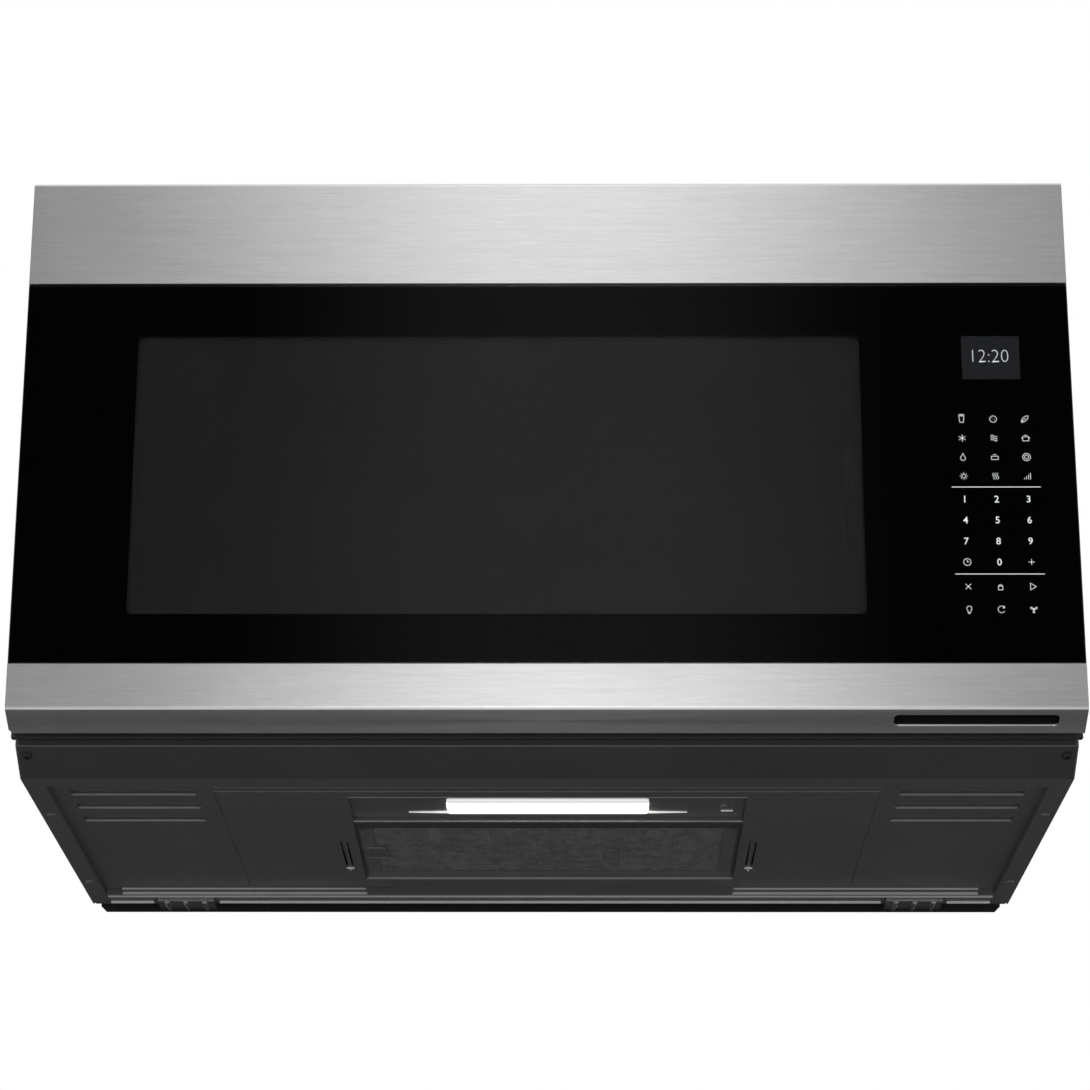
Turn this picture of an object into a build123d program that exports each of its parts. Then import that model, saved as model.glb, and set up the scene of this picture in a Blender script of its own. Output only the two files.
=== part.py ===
"""Over the range microwave oven with one full-width door, hinged at the left.

Millimetres. X runs to the cook's right, Y runs back to the wall and Z runs up.
The wall is the plane Y = 0, and the flat rim of the underside is the plane Z = 0.
"""
from build123d import *
import math
import os

os.makedirs("parts", exist_ok=True)

# ---------------------------------------------------------------- clearances
SEAM = 0.3                 # visible joint line between two fixed skins
RUNNING_GAP = 0.3          # between faces that move past each other
SHAFT_GAP = 0.05           # radial clearance of a pin or shaft in its hole

# ---------------------------------------------------------------- cabinet
DEPTH = 455.0              # wall to the front of the door
STANDOFF = 10.0            # wall to the cabinet's rear panel
BODY_HEIGHT = 438.0
SHEET = 1.0                # wrapper and cavity steel
FRAME_SHEET = 1.2          # front frame, rear panel and base pan steel
FRAME_BOTTOM = 21.0        # lower edge of the front frame
FOLD = 2.5                 # outer bend radius of folded steel

# ---------------------------------------------------------------- door
DOOR_WIDTH = 759.0
DOOR_LAP = 4.0             # door reaches past the cabinet, each side
DOOR_LAP_TOP = 2.6
DOOR_DEPTH = 26.0
DOOR_GAP = 1.5             # door's back to the front frame
DOOR_BOTTOM = 35.2         # lower edge of the flat front
LOW_BAND = 32.9            # steel below the glass
TOP_BAND = 81.1            # steel above the glass
CHAMFER_BACK = 24.0        # run of the sloped lower edge
CHAMFER_DOWN = 11.0
GLASS_THICK = 4.0
TRIM_SHEET = 1.2
TRIM_SIDE = 8.0            # depth of the trims' side flanges, short of the swinging hinge arm
TRIM_BEND = 3.0            # outer bend radius of the trims
DOOR_INSET = 6.5           # moulded body inside the skin, each side
DOOR_WALL = 2.5
BACK_COVER = 2.0
MOULD_UP = 4.8             # moulded body over the flat front's lower edge
MOULD_DOWN = 10.6          # moulded body under the door's top
WINDOW_IN_LEFT = 81.7      # window to the door's left edge, and so on
WINDOW_IN_RIGHT = 152.7
WINDOW_UP = 37.7           # window over the glass's lower edge
WINDOW_DOWN = 40.4
WINDOW_CORNER = 6.0
SCREEN_SHEET = 0.8
SCREEN_LAP = 8.0           # screen hidden behind the frame
CHOKE_LAP = 10.0           # choke frame reaches past the cavity, sides
CHOKE_WALL = 1.5
CHOKE_GROOVE = 14.0        # depth of the microwave choke groove
INNER_WINDOW_THICK = 1.5
DIVIDER_IN = 123.5         # wall between window and controls, from the door's right edge

# ---------------------------------------------------------------- door controls
TOUCH_IN = 22.5            # touch field to the door's right edge
TOUCH_WIDTH = 70.0
TOUCH_UP = 29.9            # touch field over the glass's lower edge
TOUCH_DOWN = 13.0          # touch field under the display
DISPLAY_IN = 32.5
DISPLAY_WIDTH = 50.0
DISPLAY_DOWN = 36.5        # display under the glass's top edge
DISPLAY_HEIGHT = 42.0
DISPLAY_DEPTH = 9.0
BOARD_THICK = 1.6
CONTROL_WIDTH = 94.0
CONTROL_UP = 24.0          # board over the moulded body's lower edge
CONTROL_DOWN = 36.0
STANDOFF_RADIUS = 3.0
STANDOFF_IN = 6.0          # standoffs to the board's edges
RELAY_WIDTH = 16.0
RELAY_HEIGHT = 20.0
RELAY_DEPTH = 7.0
RELAY_PITCH = 26.0
RELAY_UP = 30.0            # first relay over the board's lower edge
SOCKET_WIDTH = 36.0
SOCKET_HEIGHT = 12.0
SOCKET_DEPTH = 6.0
SOCKET_DOWN = 48.0

# ---------------------------------------------------------------- handle pocket
POCKET_IN = 19.5           # pocket to the door's right edge
POCKET_WIDTH = 116.0
POCKET_START = 6.2         # front of the slot, back from the door's face
POCKET_SLOT = 10.9
POCKET_TOP = 54.0
POCKET_WALL = 1.5
POCKET_CORNER = 3.3

# ---------------------------------------------------------------- hinge and latch
HINGE_IN = 11.5            # hinge axis to the door's left edge
HINGE_BACK = 14.0          # hinge axis behind the door's face
PIN_RADIUS = 3.5
PIN_BOSS = 5.0
PIN_DEPTH = 20.0           # length of a pin inside the door
HINGE_ARM = 3.0            # thickness of the hinge arms
HINGE_ARM_WIDTH = 7.0
HINGE_EYE = 7.0
HINGE_DROP = 2.5           # arm to the moulded body
HINGE_LEG = 36.0
HINGE_LEG_WIDTH = 20.0
HOOK_THICK = 4.0
HOOK_REACH = 26.0          # hooks reach this far past the door's back
HOOK_HEIGHT = 8.0
HOOK_BARB = 4.0
HOOK_TRAVEL = 5.0
HOOK_LOW = 110.0
HOOK_SPACING = 200.0
HOOK_ROOM = 1.5            # slot round a hook
LATCH_BAR = 8.0
BAR_BELOW = 12.0           # bar under the lower hook
BAR_OVER = 20.0            # bar over the upper hook's underside
LUG_REACH = 8.0            # lug on the bar that the spring pulls
LUG_THICK = 3.0
SPRING_RADIUS = 3.0
SPRING_WIRE = 0.9
SPRING_LENGTH = 16.0
SPRING_TURNS = 6
SPRING_SIDES = 6           # flats of the spring's wire
SPRING_PEG = 2.0
SLOT_CORNER = 1.0

# ---------------------------------------------------------------- oven cavity
CAVITY_IN = 35.5           # cavity to the cabinet's left side
BAY_WIDTH = 143.5          # cavity to the cabinet's right side
CAVITY_FLOOR = 85.0
DUCT_HEIGHT = 98.0         # cavity to the cabinet's top
DUCT_FOOT = 12.0           # foot of the duct's side wall
CAVITY_TO_WALL = 53.3
CAVITY_CORNER = 14.0
PORT_BORDER = 8.0          # waveguide's edge to the cavity's port
PORT_LONG = 48.0
TRACK_DEPTH = 1.5          # roller track pressed into the floor
TRACK_WIDTH = 18.0
WALL_BEAD = 3.0            # stiffening beads in the cavity's sides
BEAD_HALF = 4.0
BEAD_IN = 40.0             # beads to the cavity's front and rear
LAMP_BACK = 56.0           # oven lamp behind the front frame
LAMP_DOWN = 34.0
LAMP_HOLE = 2.2
LAMP_HOLE_PITCH = 8.0

# ---------------------------------------------------------------- turntable
TRAY_GAP = 11.5            # tray to the cavity's front and rear
TRAY_THICK = 4.5
TRAY_RIM = 9.0
TRAY_STEP = 4.0
ROLLER_RADIUS = 9.5
ROLLER_WIDTH = 8.0
ROLLER_SHARE = 0.6         # rollers' circle as a share of the tray
RING_WIDTH = 8.0
RING_HEIGHT = 7.0
AXLE_RADIUS = 2.5
COUPLER_RADIUS = 15.0
STEM_RADIUS = 5.0
LOBE_HALF = 3.5
MOTOR_RADIUS = 25.0
MOTOR_HEIGHT = 20.0
MOTOR_EAR = 9.0
STEM_DEPTH = 12.0          # stem inside the motor

# ---------------------------------------------------------------- vent grille and filter
VENT_INSET = 10.0          # grille inside the cavity's width
VENT_UP = 16.0             # grille over the cavity
VENT_HEIGHT = 70.0
GRILLE_DEPTH = 14.0
GRILLE_WALL = 2.0
GRILLE_BAR = 3.0
SLAT_THICK = 1.6
GRILLE_SLATS = 8
GRILLE_BARS = 4
CHARCOAL_WIDTH = 300.0
CHARCOAL_DEPTH = 14.0
CHARCOAL_HEIGHT = 78.0
CHARCOAL_RIM = 5.0
CHARCOAL_LIP = 3.0

# ---------------------------------------------------------------- vent blower
WHEEL_RADIUS = 36.0
WHEEL_WIDTH = 78.0
BLADE_COUNT = 26
BLADE_DEPTH = 7.5
BLADE_SHEET = 0.8
HOUSING_GAP = 4.0          # wheel end to housing wall
HOUSING_WALL = 1.5
SCROLL_START = 39.0        # scroll radius at the cut-off
SCROLL_GROWTH = 11.0       # growth over three quarters of a turn
SCROLL_OUTLET = 75.0
BLOWER_Y = -85.0
BLOWER_FOOT = 2.0
FOOT_HALF = 14.0
WHEEL_RING = 3.0           # end rings of a wheel
WHEEL_RING_LONG = 2.0
WHEEL_HUB = 9.0
WHEEL_HUB_LONG = 20.0
VENT_SHAFT = 4.0
VENT_MOTOR_RADIUS = 36.0
VENT_MOTOR_WIDTH = 84.0
VENT_MOTOR_SPACE = 8.0     # motor to housing
VENT_BELL = 5.0            # end bells inside the stator's radius
VENT_BELL_IN = 8.0
VENT_BEARING = 10.0
SADDLE_HALF = 22.0
SADDLE_FOOT = 34.0
EXHAUST_WIDTH = 254.0
EXHAUST_DEPTH = 83.0
EXHAUST_LAP = 6.0          # blower plate round the exhaust
INLET_COUNT = 9            # air slots over the cooling fan
INLET_PITCH = 7.0
INLET_WIDTH = 3.0
INLET_LONG = 60.0
INLET_Y = -110.0

# ---------------------------------------------------------------- underside
SLOPE_TOP = 16.4           # front strip starts this high
SLOPE_RUN = 28.3
RIM_FRONT = 22.0
RIM_SIDE = 15.0
FLOOR_UP = 4.7             # recessed floor over the rim
REAR_RAIL = 32.0           # flat rail along the rear
PAN_WALL = 25.0
RIB_IN = 117.5             # ribs' inner end to the cabinet's inside
RIB_WIDTH = 91.0
RIB_DEPTH = 3.0
RIB_RUN = 16.0
RIB_BACK = 41.6            # first rib behind the recess's front
RIB_PITCH = 37.4
RIB_COUNT = 3
RAIL_HALF = 127.0          # wide part of the rear rail, behind the filter
STEP_END = 297.0           # outer end of the two steps beside it
STEP_LEVEL = 2.6           # height of the ledge between the steps
STEP_RUNS = (3.0, 3.0, 3.8)  # first slope, ledge and second slope
BEAD_TO_TAB = 4.0          # beads to the wall plate's tabs
BEAD_PLACES = ((4.7, 5.0, 1.4), (24.2, 6.0, 1.6))  # beads in the rear rail: place, width, height
SEAM_HALF = 243.0          # pressed line round the light and the filter
SEAM_FRONT = 20.0          # its front line, behind the recess's front
SEAM_PITCH = 10.0
SEAM_WIDTH = 1.0
SEAM_DEPTH = 0.4

# ---------------------------------------------------------------- light and grease filter
LIGHT_HALF = 146.4
LIGHT_BACK = 47.6          # light behind the recess's front
LIGHT_DEPTH = 69.4
LIGHT_UP = 3.4             # cover over the recessed floor
COVER_SHEET = 1.2
LENS_HALF = 74.8
LENS_DEPTH = 40.2
LENS_DROP = 1.6
COVER_SCREW_IN = 15.4      # cover's screw to its right edge
COLLAR = 7.3               # height of the recess walls
LENS_LIP = 1.5
LENS_CORNER = 3.0
TRUNNION = 1.5
TRUNNION_IN = 1.2
TRUNNION_LONG = 3.0
LAMP_HOUSING = 20.0
LAMP_BOARD_HALF = 90.0
LAMP_BOARD_DEEP = 24.0
CUP_COUNT = 4
CUP_PITCH = 40.0
CUP_RADIUS = 9.0
CUP_NECK = 4.0
CUP_HEIGHT = 5.0
FILTER_HALF = 147.0        # opening in the floor
FILTER_GAP = 3.2           # filter's opening to the light's
FILTER_TO_WALL = 76.0
FILTER_LAP = 6.0           # filter rests on the floor this far
FILTER_TRAVEL = 8.0
FILTER_THICK = 8.0
FILTER_BORDER = 11.0
MESH_UP = 1.5
MESH_THICK = 5.0
TAB_X = -135.5
TAB_Y = -157.0
TAB_HALF_WIDTH = 9.0
TAB_HALF_LONG = 16.0
TAB_THICK = 3.0
RAIL_SPACE = 2.5
RAIL_FOOT = 14.0
RAIL_OVER = 2.0
RAIL_IN = 8.0
LEAF_HALF = 40.0           # half the leaf spring's length
LEAF_SHEET = 0.6
LEAF_HEIGHT = 6.0
SLOT_WIDTH = 6.0
SLOT_LENGTH = 77.0
SLOT_SHIFT = 6.5
SLOT_CENTRE = 4.5          # centre line of the slots, past the filter's end
SLOT_SCREW_BACK = 7.0      # screw behind each slot
SLOPE_SCREW_IN = 7.5
SLOPE_SCREW_SHARE = 0.3    # place of the screws on the slope
RIM_SCREW_Y = (-300.0, -90.0)
CAP_WIDTH = 3.5
CAP_DEPTH = 8.0
CAP_UP = 1.5               # cap over the front frame's lower edge
CAP_HEIGHT = 6.0
CAP_CORNER = 1.5

# ---------------------------------------------------------------- wall plate
PLATE_SHEET = 2.0
PLATE_IN = 5.5             # plate inside the cabinet's width, each side
PLATE_BELOW = 4.6
PLATE_DOWN = 8.0           # plate under the cabinet's top
PLATE_CORNER = 4.5
PLATE_RIB_INNER = 120.0
PLATE_RIB_OUTER = 70.0     # outer ribs to the plate's side
PLATE_RIB_WIDTH = 34.0
PLATE_RIB_LOW = 44.0
PLATE_RIB_END = 30.0       # rib's end to the plate's top edge
TOGGLE_IN = 30.0           # toggle holes to the plate's sides
TOGGLE_DOWN = 54.0         # toggle holes to the cabinet's top and bottom, on average
STUD_SPACING_X = 406.4     # studs 16 in apart
STUD_SPACING_Z = 220.0
PLATE_HOLE = 4.0
HOLES_OVER = 1.0           # centre of both hole patterns, over the cabinet's middle
HOOK_TAB_IN = 78.2         # support tabs to the cabinet's sides
HOOK_TAB_WIDTH = 46.0
HOOK_TAB_RUN = 28.0
HOOK_TAB_SHEET = 2.5
HOOK_LIP = 6.0
HOOK_TAB_UP = 24.0         # height of the tabs' leg on the plate
HOOK_KNUCKLE = 2.1

# ---------------------------------------------------------------- cabinet bolts and gland
BOLT_IN = 75.5             # cabinet bolts to the cabinet's sides
BOLT_Y = -170.0
BOLT_RADIUS = 3.3
NUT_WIDTH = 16.0
NUT_HEIGHT = 7.0
GLAND_IN = 45.5
GLAND_Y = -45.0
GLAND_BORE = 5.0
GLAND_NECK = 9.0
GLAND_FLANGE = 4.0

# ---------------------------------------------------------------- component bay
GUIDE_LONG = 135.0         # waveguide
GUIDE_HIGH = 80.0
GUIDE_DEEP = 30.0
GUIDE_BACK = -170.0
GUIDE_DOWN = 120.0         # waveguide's lower side under the cavity's top
GUIDE_WALL = 1.5
MICA_SHEET = 0.8
MAGNETRON_LONG = 70.0
MAGNETRON_SIDE = 76.0
ANTENNA_RADIUS = 8.0
ANTENNA_LONG = 18.0
ANODE_RADIUS = 17.0
MAGNET_RADIUS = 28.0
MAGNET_HIGH = 12.0
YOKE_SHEET = 2.0
FILTER_BOX_HALF = 26.0
FILTER_BOX_LOW = 22.0
FILTER_BOX_LONG = 24.0
FIN_COUNT = 8
FIN_SHEET = 0.6
TRANSFORMER_IN = 14.0      # core to the cavity's steel
TRANSFORMER_BACK = 175.3   # windings behind the front frame
CORE_SET_IN = 16.0         # core inside the windings' depth
CORE_FOOT = 2.0
CORE_FOOT_REACH = 6.0
CORE_WIDTH = 100.0
CORE_HEIGHT = 82.0
WINDING_DEPTH = 80.0
WINDING_HEIGHT = 28.0
WINDING_CORNER = 12.0
WINDING_SPACE = 6.0
CAPACITOR_BACK = 56.0      # capacitor's middle behind the windings
CAPACITOR_LONG = 54.0
CAPACITOR_DEEP = 32.0
CAPACITOR_HIGH = 96.0
CAPACITOR_IN = 62.0
STRAP_SHEET = 1.0
TERMINAL_WIDTH = 6.0
TERMINAL_HIGH = 10.0
DIODE_RADIUS = 3.5
DIODE_HALF = 14.0
MAINS_BACK = 250.0         # mains board behind the front frame
MAINS_UP = 12.0
MAINS_LONG = 90.0
MAINS_HIGH = 66.0
MAINS_OFF = 5.0
COIL_RADIUS = 14.0
COIL_BORE = 7.0
MAINS_PART_LOW = 10.0
MAINS_CAP_IN = 46.0
MAINS_CAP_LONG = 14.0
MAINS_CAP_HIGH = 32.0
MAINS_RELAY_IN = 66.0
MAINS_RELAY_LONG = 16.0
MAINS_RELAY_HIGH = 22.0
SOCKET_RADIUS = 17.0
SOCKET_WALL = 2.0
SOCKET_LONG = 22.0
SOCKET_END = 8.0
BULB_RADIUS = 8.0
BULB_IN = 12.0
BULB_BASE = 5.0
CUTOUT_RADIUS = 8.0
CUTOUT_HIGH = 9.0
CUTOUT_EAR = 12.0
CUTOUT_RIGHT = 120.0       # roof's cut-out to the turntable's axis
CUTOUT_BACK = 140.0
STEAM_RADIUS = 9.0
STEAM_DEEP = 12.0
STEAM_EAR = 16.0
STEAM_EAR_HALF = 7.0
STEAM_FORWARD = 80.0
STEAM_DOWN = 30.0
FAN_RADIUS = 48.0
FAN_HUB = 15.0
FAN_BLADES = 5
FAN_WIDTH = 16.0
FAN_TIP_GAP = 3.0
FAN_IN = 71.0              # fan's axis to the cavity's steel
FAN_DOWN = 78.0            # fan's axis under the cavity's top
FAN_Y = -70.0              # shroud plate
FAN_SHEET = 1.2
FAN_SHAFT = 3.0
FAN_SHAFT_LONG = 27.0
FAN_SET_BACK = 6.0
SHROUD_HALF = 62.0
SHROUD_COLLAR = 22.0
FAN_MOTOR_RADIUS = 20.0
FAN_MOTOR_LONG = 24.0
FAN_MOTOR_BACK = 30.0
FAN_STRAP = 2.0
FAN_STRAP_HALF = 8.0
FAN_STRAP_REACH = 6.0
SCREW_HEAD = 3.6
SCREW_SHANK = 2.0
SCREW_TALL = 2.2

# ---------------------------------------------------------------- interlock
LATCH_BOARD = 2.0          # sheet of the moulded latch board
LATCH_BOARD_LEFT = 8.0
LATCH_BOARD_RIGHT = 16.0
LATCH_BOARD_BELOW = 14.0
LATCH_BOARD_OVER = 28.0
LATCH_WALLS = 4.0          # side walls reach past the hooks' tips
SHELF_LONG = 14.0
SWITCH_LONG = 20.0
SWITCH_HIGH = 16.0
SWITCH_THICK = 10.0
SWITCH_BACK = 6.0
PLUNGER_HALF = 2.0

# ---------------------------------------------------------------- places that follow from these
BODY_WIDTH = DOOR_WIDTH - 2 * DOOR_LAP
FRONT = -DEPTH
DOOR_BACK = FRONT + DOOR_DEPTH
FRAME_FRONT = DOOR_BACK + DOOR_GAP
FRAME_BACK = FRAME_FRONT + FRAME_SHEET
BODY_BACK = -STANDOFF
REAR_INSIDE = BODY_BACK - FRAME_SHEET
BODY_HALF = BODY_WIDTH / 2
INSIDE_HALF = BODY_HALF - SHEET
INSIDE_TOP = BODY_HEIGHT - SHEET
DOOR_HALF = DOOR_WIDTH / 2
GLASS_LOW = DOOR_BOTTOM + LOW_BAND
DOOR_TOP = BODY_HEIGHT + DOOR_LAP_TOP
GLASS_HIGH = DOOR_TOP - TOP_BAND
BODY_LOW = DOOR_BOTTOM + MOULD_UP
BODY_HIGH = DOOR_TOP - MOULD_DOWN
MOULD_HALF = DOOR_HALF - DOOR_INSET
MOULD_FRONT = FRONT + GLASS_THICK
MOULD_BACK = DOOR_BACK - BACK_COVER
WINDOW_LEFT = WINDOW_IN_LEFT - DOOR_HALF
WINDOW_RIGHT = DOOR_HALF - WINDOW_IN_RIGHT
WINDOW_LOW = GLASS_LOW + WINDOW_UP
WINDOW_HIGH = GLASS_HIGH - WINDOW_DOWN
DIVIDER_X = DOOR_HALF - DIVIDER_IN
TOUCH_LEFT = DOOR_HALF - TOUCH_IN - TOUCH_WIDTH
TOUCH_LOW = GLASS_LOW + TOUCH_UP
DISPLAY_LEFT = DOOR_HALF - DISPLAY_IN - DISPLAY_WIDTH
DISPLAY_LOW = GLASS_HIGH - DISPLAY_DOWN - DISPLAY_HEIGHT
TOUCH_HIGH = DISPLAY_LOW - TOUCH_DOWN
POCKET_LEFT = DOOR_HALF - POCKET_IN - POCKET_WIDTH
HINGE_X = HINGE_IN - DOOR_HALF
HINGE_Y = FRONT + HINGE_BACK
SWING_RADIUS = FRAME_FRONT - RUNNING_GAP - HINGE_Y  # what turns inside this radius clears the frame
CAVITY_LEFT = CAVITY_IN - BODY_HALF
CAVITY_RIGHT = BODY_HALF - BAY_WIDTH
CAVITY_TOP = BODY_HEIGHT - DUCT_HEIGHT
CAVITY_HEIGHT = CAVITY_TOP - CAVITY_FLOOR
CAVITY_REAR = -CAVITY_TO_WALL
TURN_X = (CAVITY_LEFT + CAVITY_RIGHT) / 2
TURN_Y = (FRAME_BACK + CAVITY_REAR) / 2
ROOF = CAVITY_TOP + SHEET          # upper side of the cavity's steel
BAY_LEFT = CAVITY_RIGHT + SHEET    # component bay, from the cavity's steel
PAN_TOP = FLOOR_UP + FRAME_SHEET   # upper side of the recessed floor
BAR_LEFT = DIVIDER_X + DOOR_WALL + RUNNING_GAP
BAR_RIGHT = BAR_LEFT + HOOK_THICK
BAR_TOP = HOOK_LOW + HOOK_SPACING + BAR_OVER
BAR_Y = DOOR_BACK - DOOR_DEPTH / 2
TRAY_RADIUS = (CAVITY_REAR - FRAME_BACK) / 2 - TRAY_GAP
ROLLER_CIRCLE = TRAY_RADIUS * ROLLER_SHARE
VENT_LOW = CAVITY_TOP + VENT_UP
PAN_FLAT = FRAME_BACK + SLOPE_RUN  # front of the flat rim
RECESS_FRONT = PAN_FLAT + RIM_FRONT
RECESS_BACK = REAR_INSIDE - REAR_RAIL
RIB_FIRST = RECESS_FRONT + RIB_BACK
RIB_INNER = INSIDE_HALF - RIB_IN
LIGHT_FRONT = RECESS_FRONT + LIGHT_BACK
LIGHT_CENTRE = LIGHT_FRONT + LIGHT_DEPTH / 2
FILTER_FRONT = LIGHT_FRONT + LIGHT_DEPTH + FILTER_GAP
FILTER_BACK = -FILTER_TO_WALL
FILTER_CENTRE = (FILTER_FRONT + FILTER_BACK) / 2
FILTER_END = FILTER_HALF + FILTER_LAP
PLATE_WIDTH = BODY_WIDTH - 2 * PLATE_IN
PLATE_TOP = BODY_HEIGHT - PLATE_DOWN
OUTER_RIB_X = PLATE_WIDTH / 2 - PLATE_RIB_OUTER
PLATE_RIBS = (-OUTER_RIB_X, -PLATE_RIB_INNER, PLATE_RIB_INNER, OUTER_RIB_X)
TOGGLE_SPACING_X = PLATE_WIDTH - 2 * TOGGLE_IN
TOGGLE_SPACING_Z = BODY_HEIGHT - 2 * TOGGLE_DOWN
HOLES_UP = BODY_HEIGHT / 2 + HOLES_OVER
HOOK_TAB_X = BODY_HALF - HOOK_TAB_IN
BOLT_SPACING = BODY_WIDTH - 2 * BOLT_IN
GLAND_X = BODY_HALF - GLAND_IN
GUIDE_LOW = CAVITY_TOP - GUIDE_DOWN
TRANSFORMER_FRONT = FRAME_BACK + TRANSFORMER_BACK
CAPACITOR_Y = TRANSFORMER_FRONT + WINDING_DEPTH + CAPACITOR_BACK
FAN_X = BAY_LEFT + FAN_IN
FAN_Z = CAVITY_TOP - FAN_DOWN
SLOPE_SCREW_X = BODY_HALF - SLOPE_SCREW_IN

NORMAL = {"X": (1, 0, 0), "Y": (0, 1, 0), "Z": (0, 0, 1)}


# ---------------------------------------------------------------- helpers
def work_plane(axis, across, up, through):
    """A plane square to an axis. across and up run along the other two axes, in X, Y, Z order."""
    if axis == "X":
        return Plane(origin=(through, across, up), x_dir=(0, 1, 0), z_dir=(1, 0, 0))
    if axis == "Y":
        return Plane(origin=(across, through, up), x_dir=(1, 0, 0), z_dir=(0, -1, 0))
    return Plane(origin=(across, up, through))


def along(axis, sketch, centre, through):
    """A sketch made solid between two places on an axis."""
    plane = work_plane(axis, centre[0], centre[1], through[0])
    return extrude(plane * sketch, through[1] - through[0], dir=NORMAL[axis])


def plate(axis, across, up, through, radius=0.0):
    """A rectangular plate or block, its corners rounded when a radius is given."""
    width, height = across[1] - across[0], up[1] - up[0]
    sketch = RectangleRounded(width, height, radius) if radius else Rectangle(width, height)
    return along(axis, sketch, (sum(across) / 2, sum(up) / 2), through)


def rod(axis, radius, centre, through):
    return along(axis, Circle(radius), centre, through)


def ring(axis, outer, inner, centre, through):
    return rod(axis, outer, centre, through) - rod(axis, inner, centre, through)


def prism(axis, points, through):
    """A polygon made solid along an axis."""
    return along(axis, make_face(Polyline(*points, close=True)), (0, 0), through)


def folded(axis, points, sheet, through, bend=0.0):
    """Sheet metal folded along an open line, which is its outer side. The sheet lies to the line's left."""
    lines = [(Vector(*b) - Vector(*a)).normalized() for a, b in zip(points, points[1:])]
    left = [Vector(-line.Y, line.X) for line in lines]
    inner = [Vector(*points[0]) + left[0] * sheet]
    for place, first, second in zip(points[1:-1], left, left[1:]):
        middle = (first + second).normalized()
        inner.append(Vector(*place) + middle * (sheet / middle.dot(first)))
    inner.append(Vector(*points[-1]) + left[-1] * sheet)
    outline = [Vector(*p) for p in points] + inner[::-1]
    face = make_face(Polyline(*[(p.X, p.Y) for p in outline], close=True))
    if bend:
        folds = [Vector(*place) for place in points[1:-1]]
        corners = [v for v in face.vertices() if any((v.center() - fold).length < 1e-6 for fold in folds)]
        face = fillet(corners, bend)
    return along(axis, face, (0, 0), through)


def mirrored(shape):
    return mirror(shape, about=Plane.YZ)


def chamfer_top(back):
    """Height of the sloped steel's upper side, this far back from the door's face."""
    slope = CHAMFER_DOWN / CHAMFER_BACK
    return DOOR_BOTTOM - back * slope + TRIM_SHEET * math.hypot(1, slope)


def screw(place, way, shank):
    """A pan-head screw. Its head stands out along way, and its shank goes the other way."""
    profile = Polyline((0, -shank), (SCREW_SHANK, -shank), (SCREW_SHANK, 0), (SCREW_HEAD, 0),
                       (SCREW_HEAD * 0.85, SCREW_TALL * 0.7), (SCREW_HEAD * 0.45, SCREW_TALL),
                       (0, SCREW_TALL), close=True)
    body = revolve(Plane.XZ * make_face(profile), Axis.Z)
    return Plane(origin=place, z_dir=way) * body


# ---------------------------------------------------------------- door skin
def door_glass():
    glass = plate("Y", (-DOOR_HALF, DOOR_HALF), (GLASS_LOW + SEAM, GLASS_HIGH - SEAM),
                  (FRONT, MOULD_FRONT))
    return chamfer(glass.faces().sort_by(Axis.Y)[0].edges(), 0.5)


def trim_ends(trim, low, high):
    """Folds side flanges on a trim, and rounds its hinge corner so that it swings clear of the cabinet."""
    for side in (-1, 1):
        outer, inner = side * DOOR_HALF, side * (DOOR_HALF - TRIM_SHEET)
        trim += plate("Y", sorted((outer, inner)), (low, high), (FRONT + TRIM_SHEET, FRONT + TRIM_SIDE))
    level = (low - DOOR_DEPTH, high + DOOR_DEPTH)
    corner = plate("Z", (-DOOR_HALF - 1, HINGE_X), (HINGE_Y, DOOR_BACK), level)
    return trim - (corner - rod("Z", SWING_RADIUS, (HINGE_X, HINGE_Y), level))


def top_trim():
    depth = DOOR_DEPTH - BACK_COVER
    line = [(FRONT + depth, DOOR_TOP), (FRONT, DOOR_TOP), (FRONT, GLASS_HIGH)]
    trim = folded("X", line, TRIM_SHEET, (-DOOR_HALF, DOOR_HALF), TRIM_BEND)
    return trim_ends(trim, GLASS_HIGH, DOOR_TOP - TRIM_SHEET)


def bottom_trim():
    line = [(FRONT, GLASS_LOW), (FRONT, DOOR_BOTTOM), (FRONT + CHAMFER_BACK, DOOR_BOTTOM - CHAMFER_DOWN)]
    trim = folded("X", line, TRIM_SHEET, (-DOOR_HALF, DOOR_HALF), TRIM_BEND)
    trim = trim_ends(trim, DOOR_BOTTOM + TRIM_SHEET, GLASS_LOW)
    slot = plate("Z", (POCKET_LEFT, POCKET_LEFT + POCKET_WIDTH),
                 (FRONT + POCKET_START, FRONT + POCKET_START + POCKET_SLOT),
                 (0, DOOR_BOTTOM + TRIM_SHEET), POCKET_CORNER)
    return trim - slot


def pocket_outline(grow, floor_lift):
    """Section of the finger pocket: its floor follows the sloped steel."""
    front, back = POCKET_START - grow, POCKET_START + POCKET_SLOT + grow
    top = POCKET_TOP + grow
    return [(FRONT + front, chamfer_top(front) + floor_lift), (FRONT + back, chamfer_top(back) + floor_lift),
            (FRONT + back, top), (FRONT + front, top)]


def handle_pocket():
    right = POCKET_LEFT + POCKET_WIDTH
    cup = prism("X", pocket_outline(POCKET_WALL, 0), (POCKET_LEFT - POCKET_WALL, right + POCKET_WALL))
    hollow = prism("X", pocket_outline(0, -5), (POCKET_LEFT, right))
    return cup - fillet(hollow.edges().filter_by(Axis.X).group_by(Axis.Z)[-1], POCKET_SLOT * 0.4)


# ---------------------------------------------------------------- door inside
def pocket_room():
    """Space that the finger pocket takes in the moulded body."""
    wall = POCKET_WALL
    return plate("Z", (POCKET_LEFT - wall, POCKET_LEFT + POCKET_WIDTH + wall),
                 (FRONT + POCKET_START - wall, FRONT + POCKET_START + POCKET_SLOT + wall),
                 (0, POCKET_TOP + wall))


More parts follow.
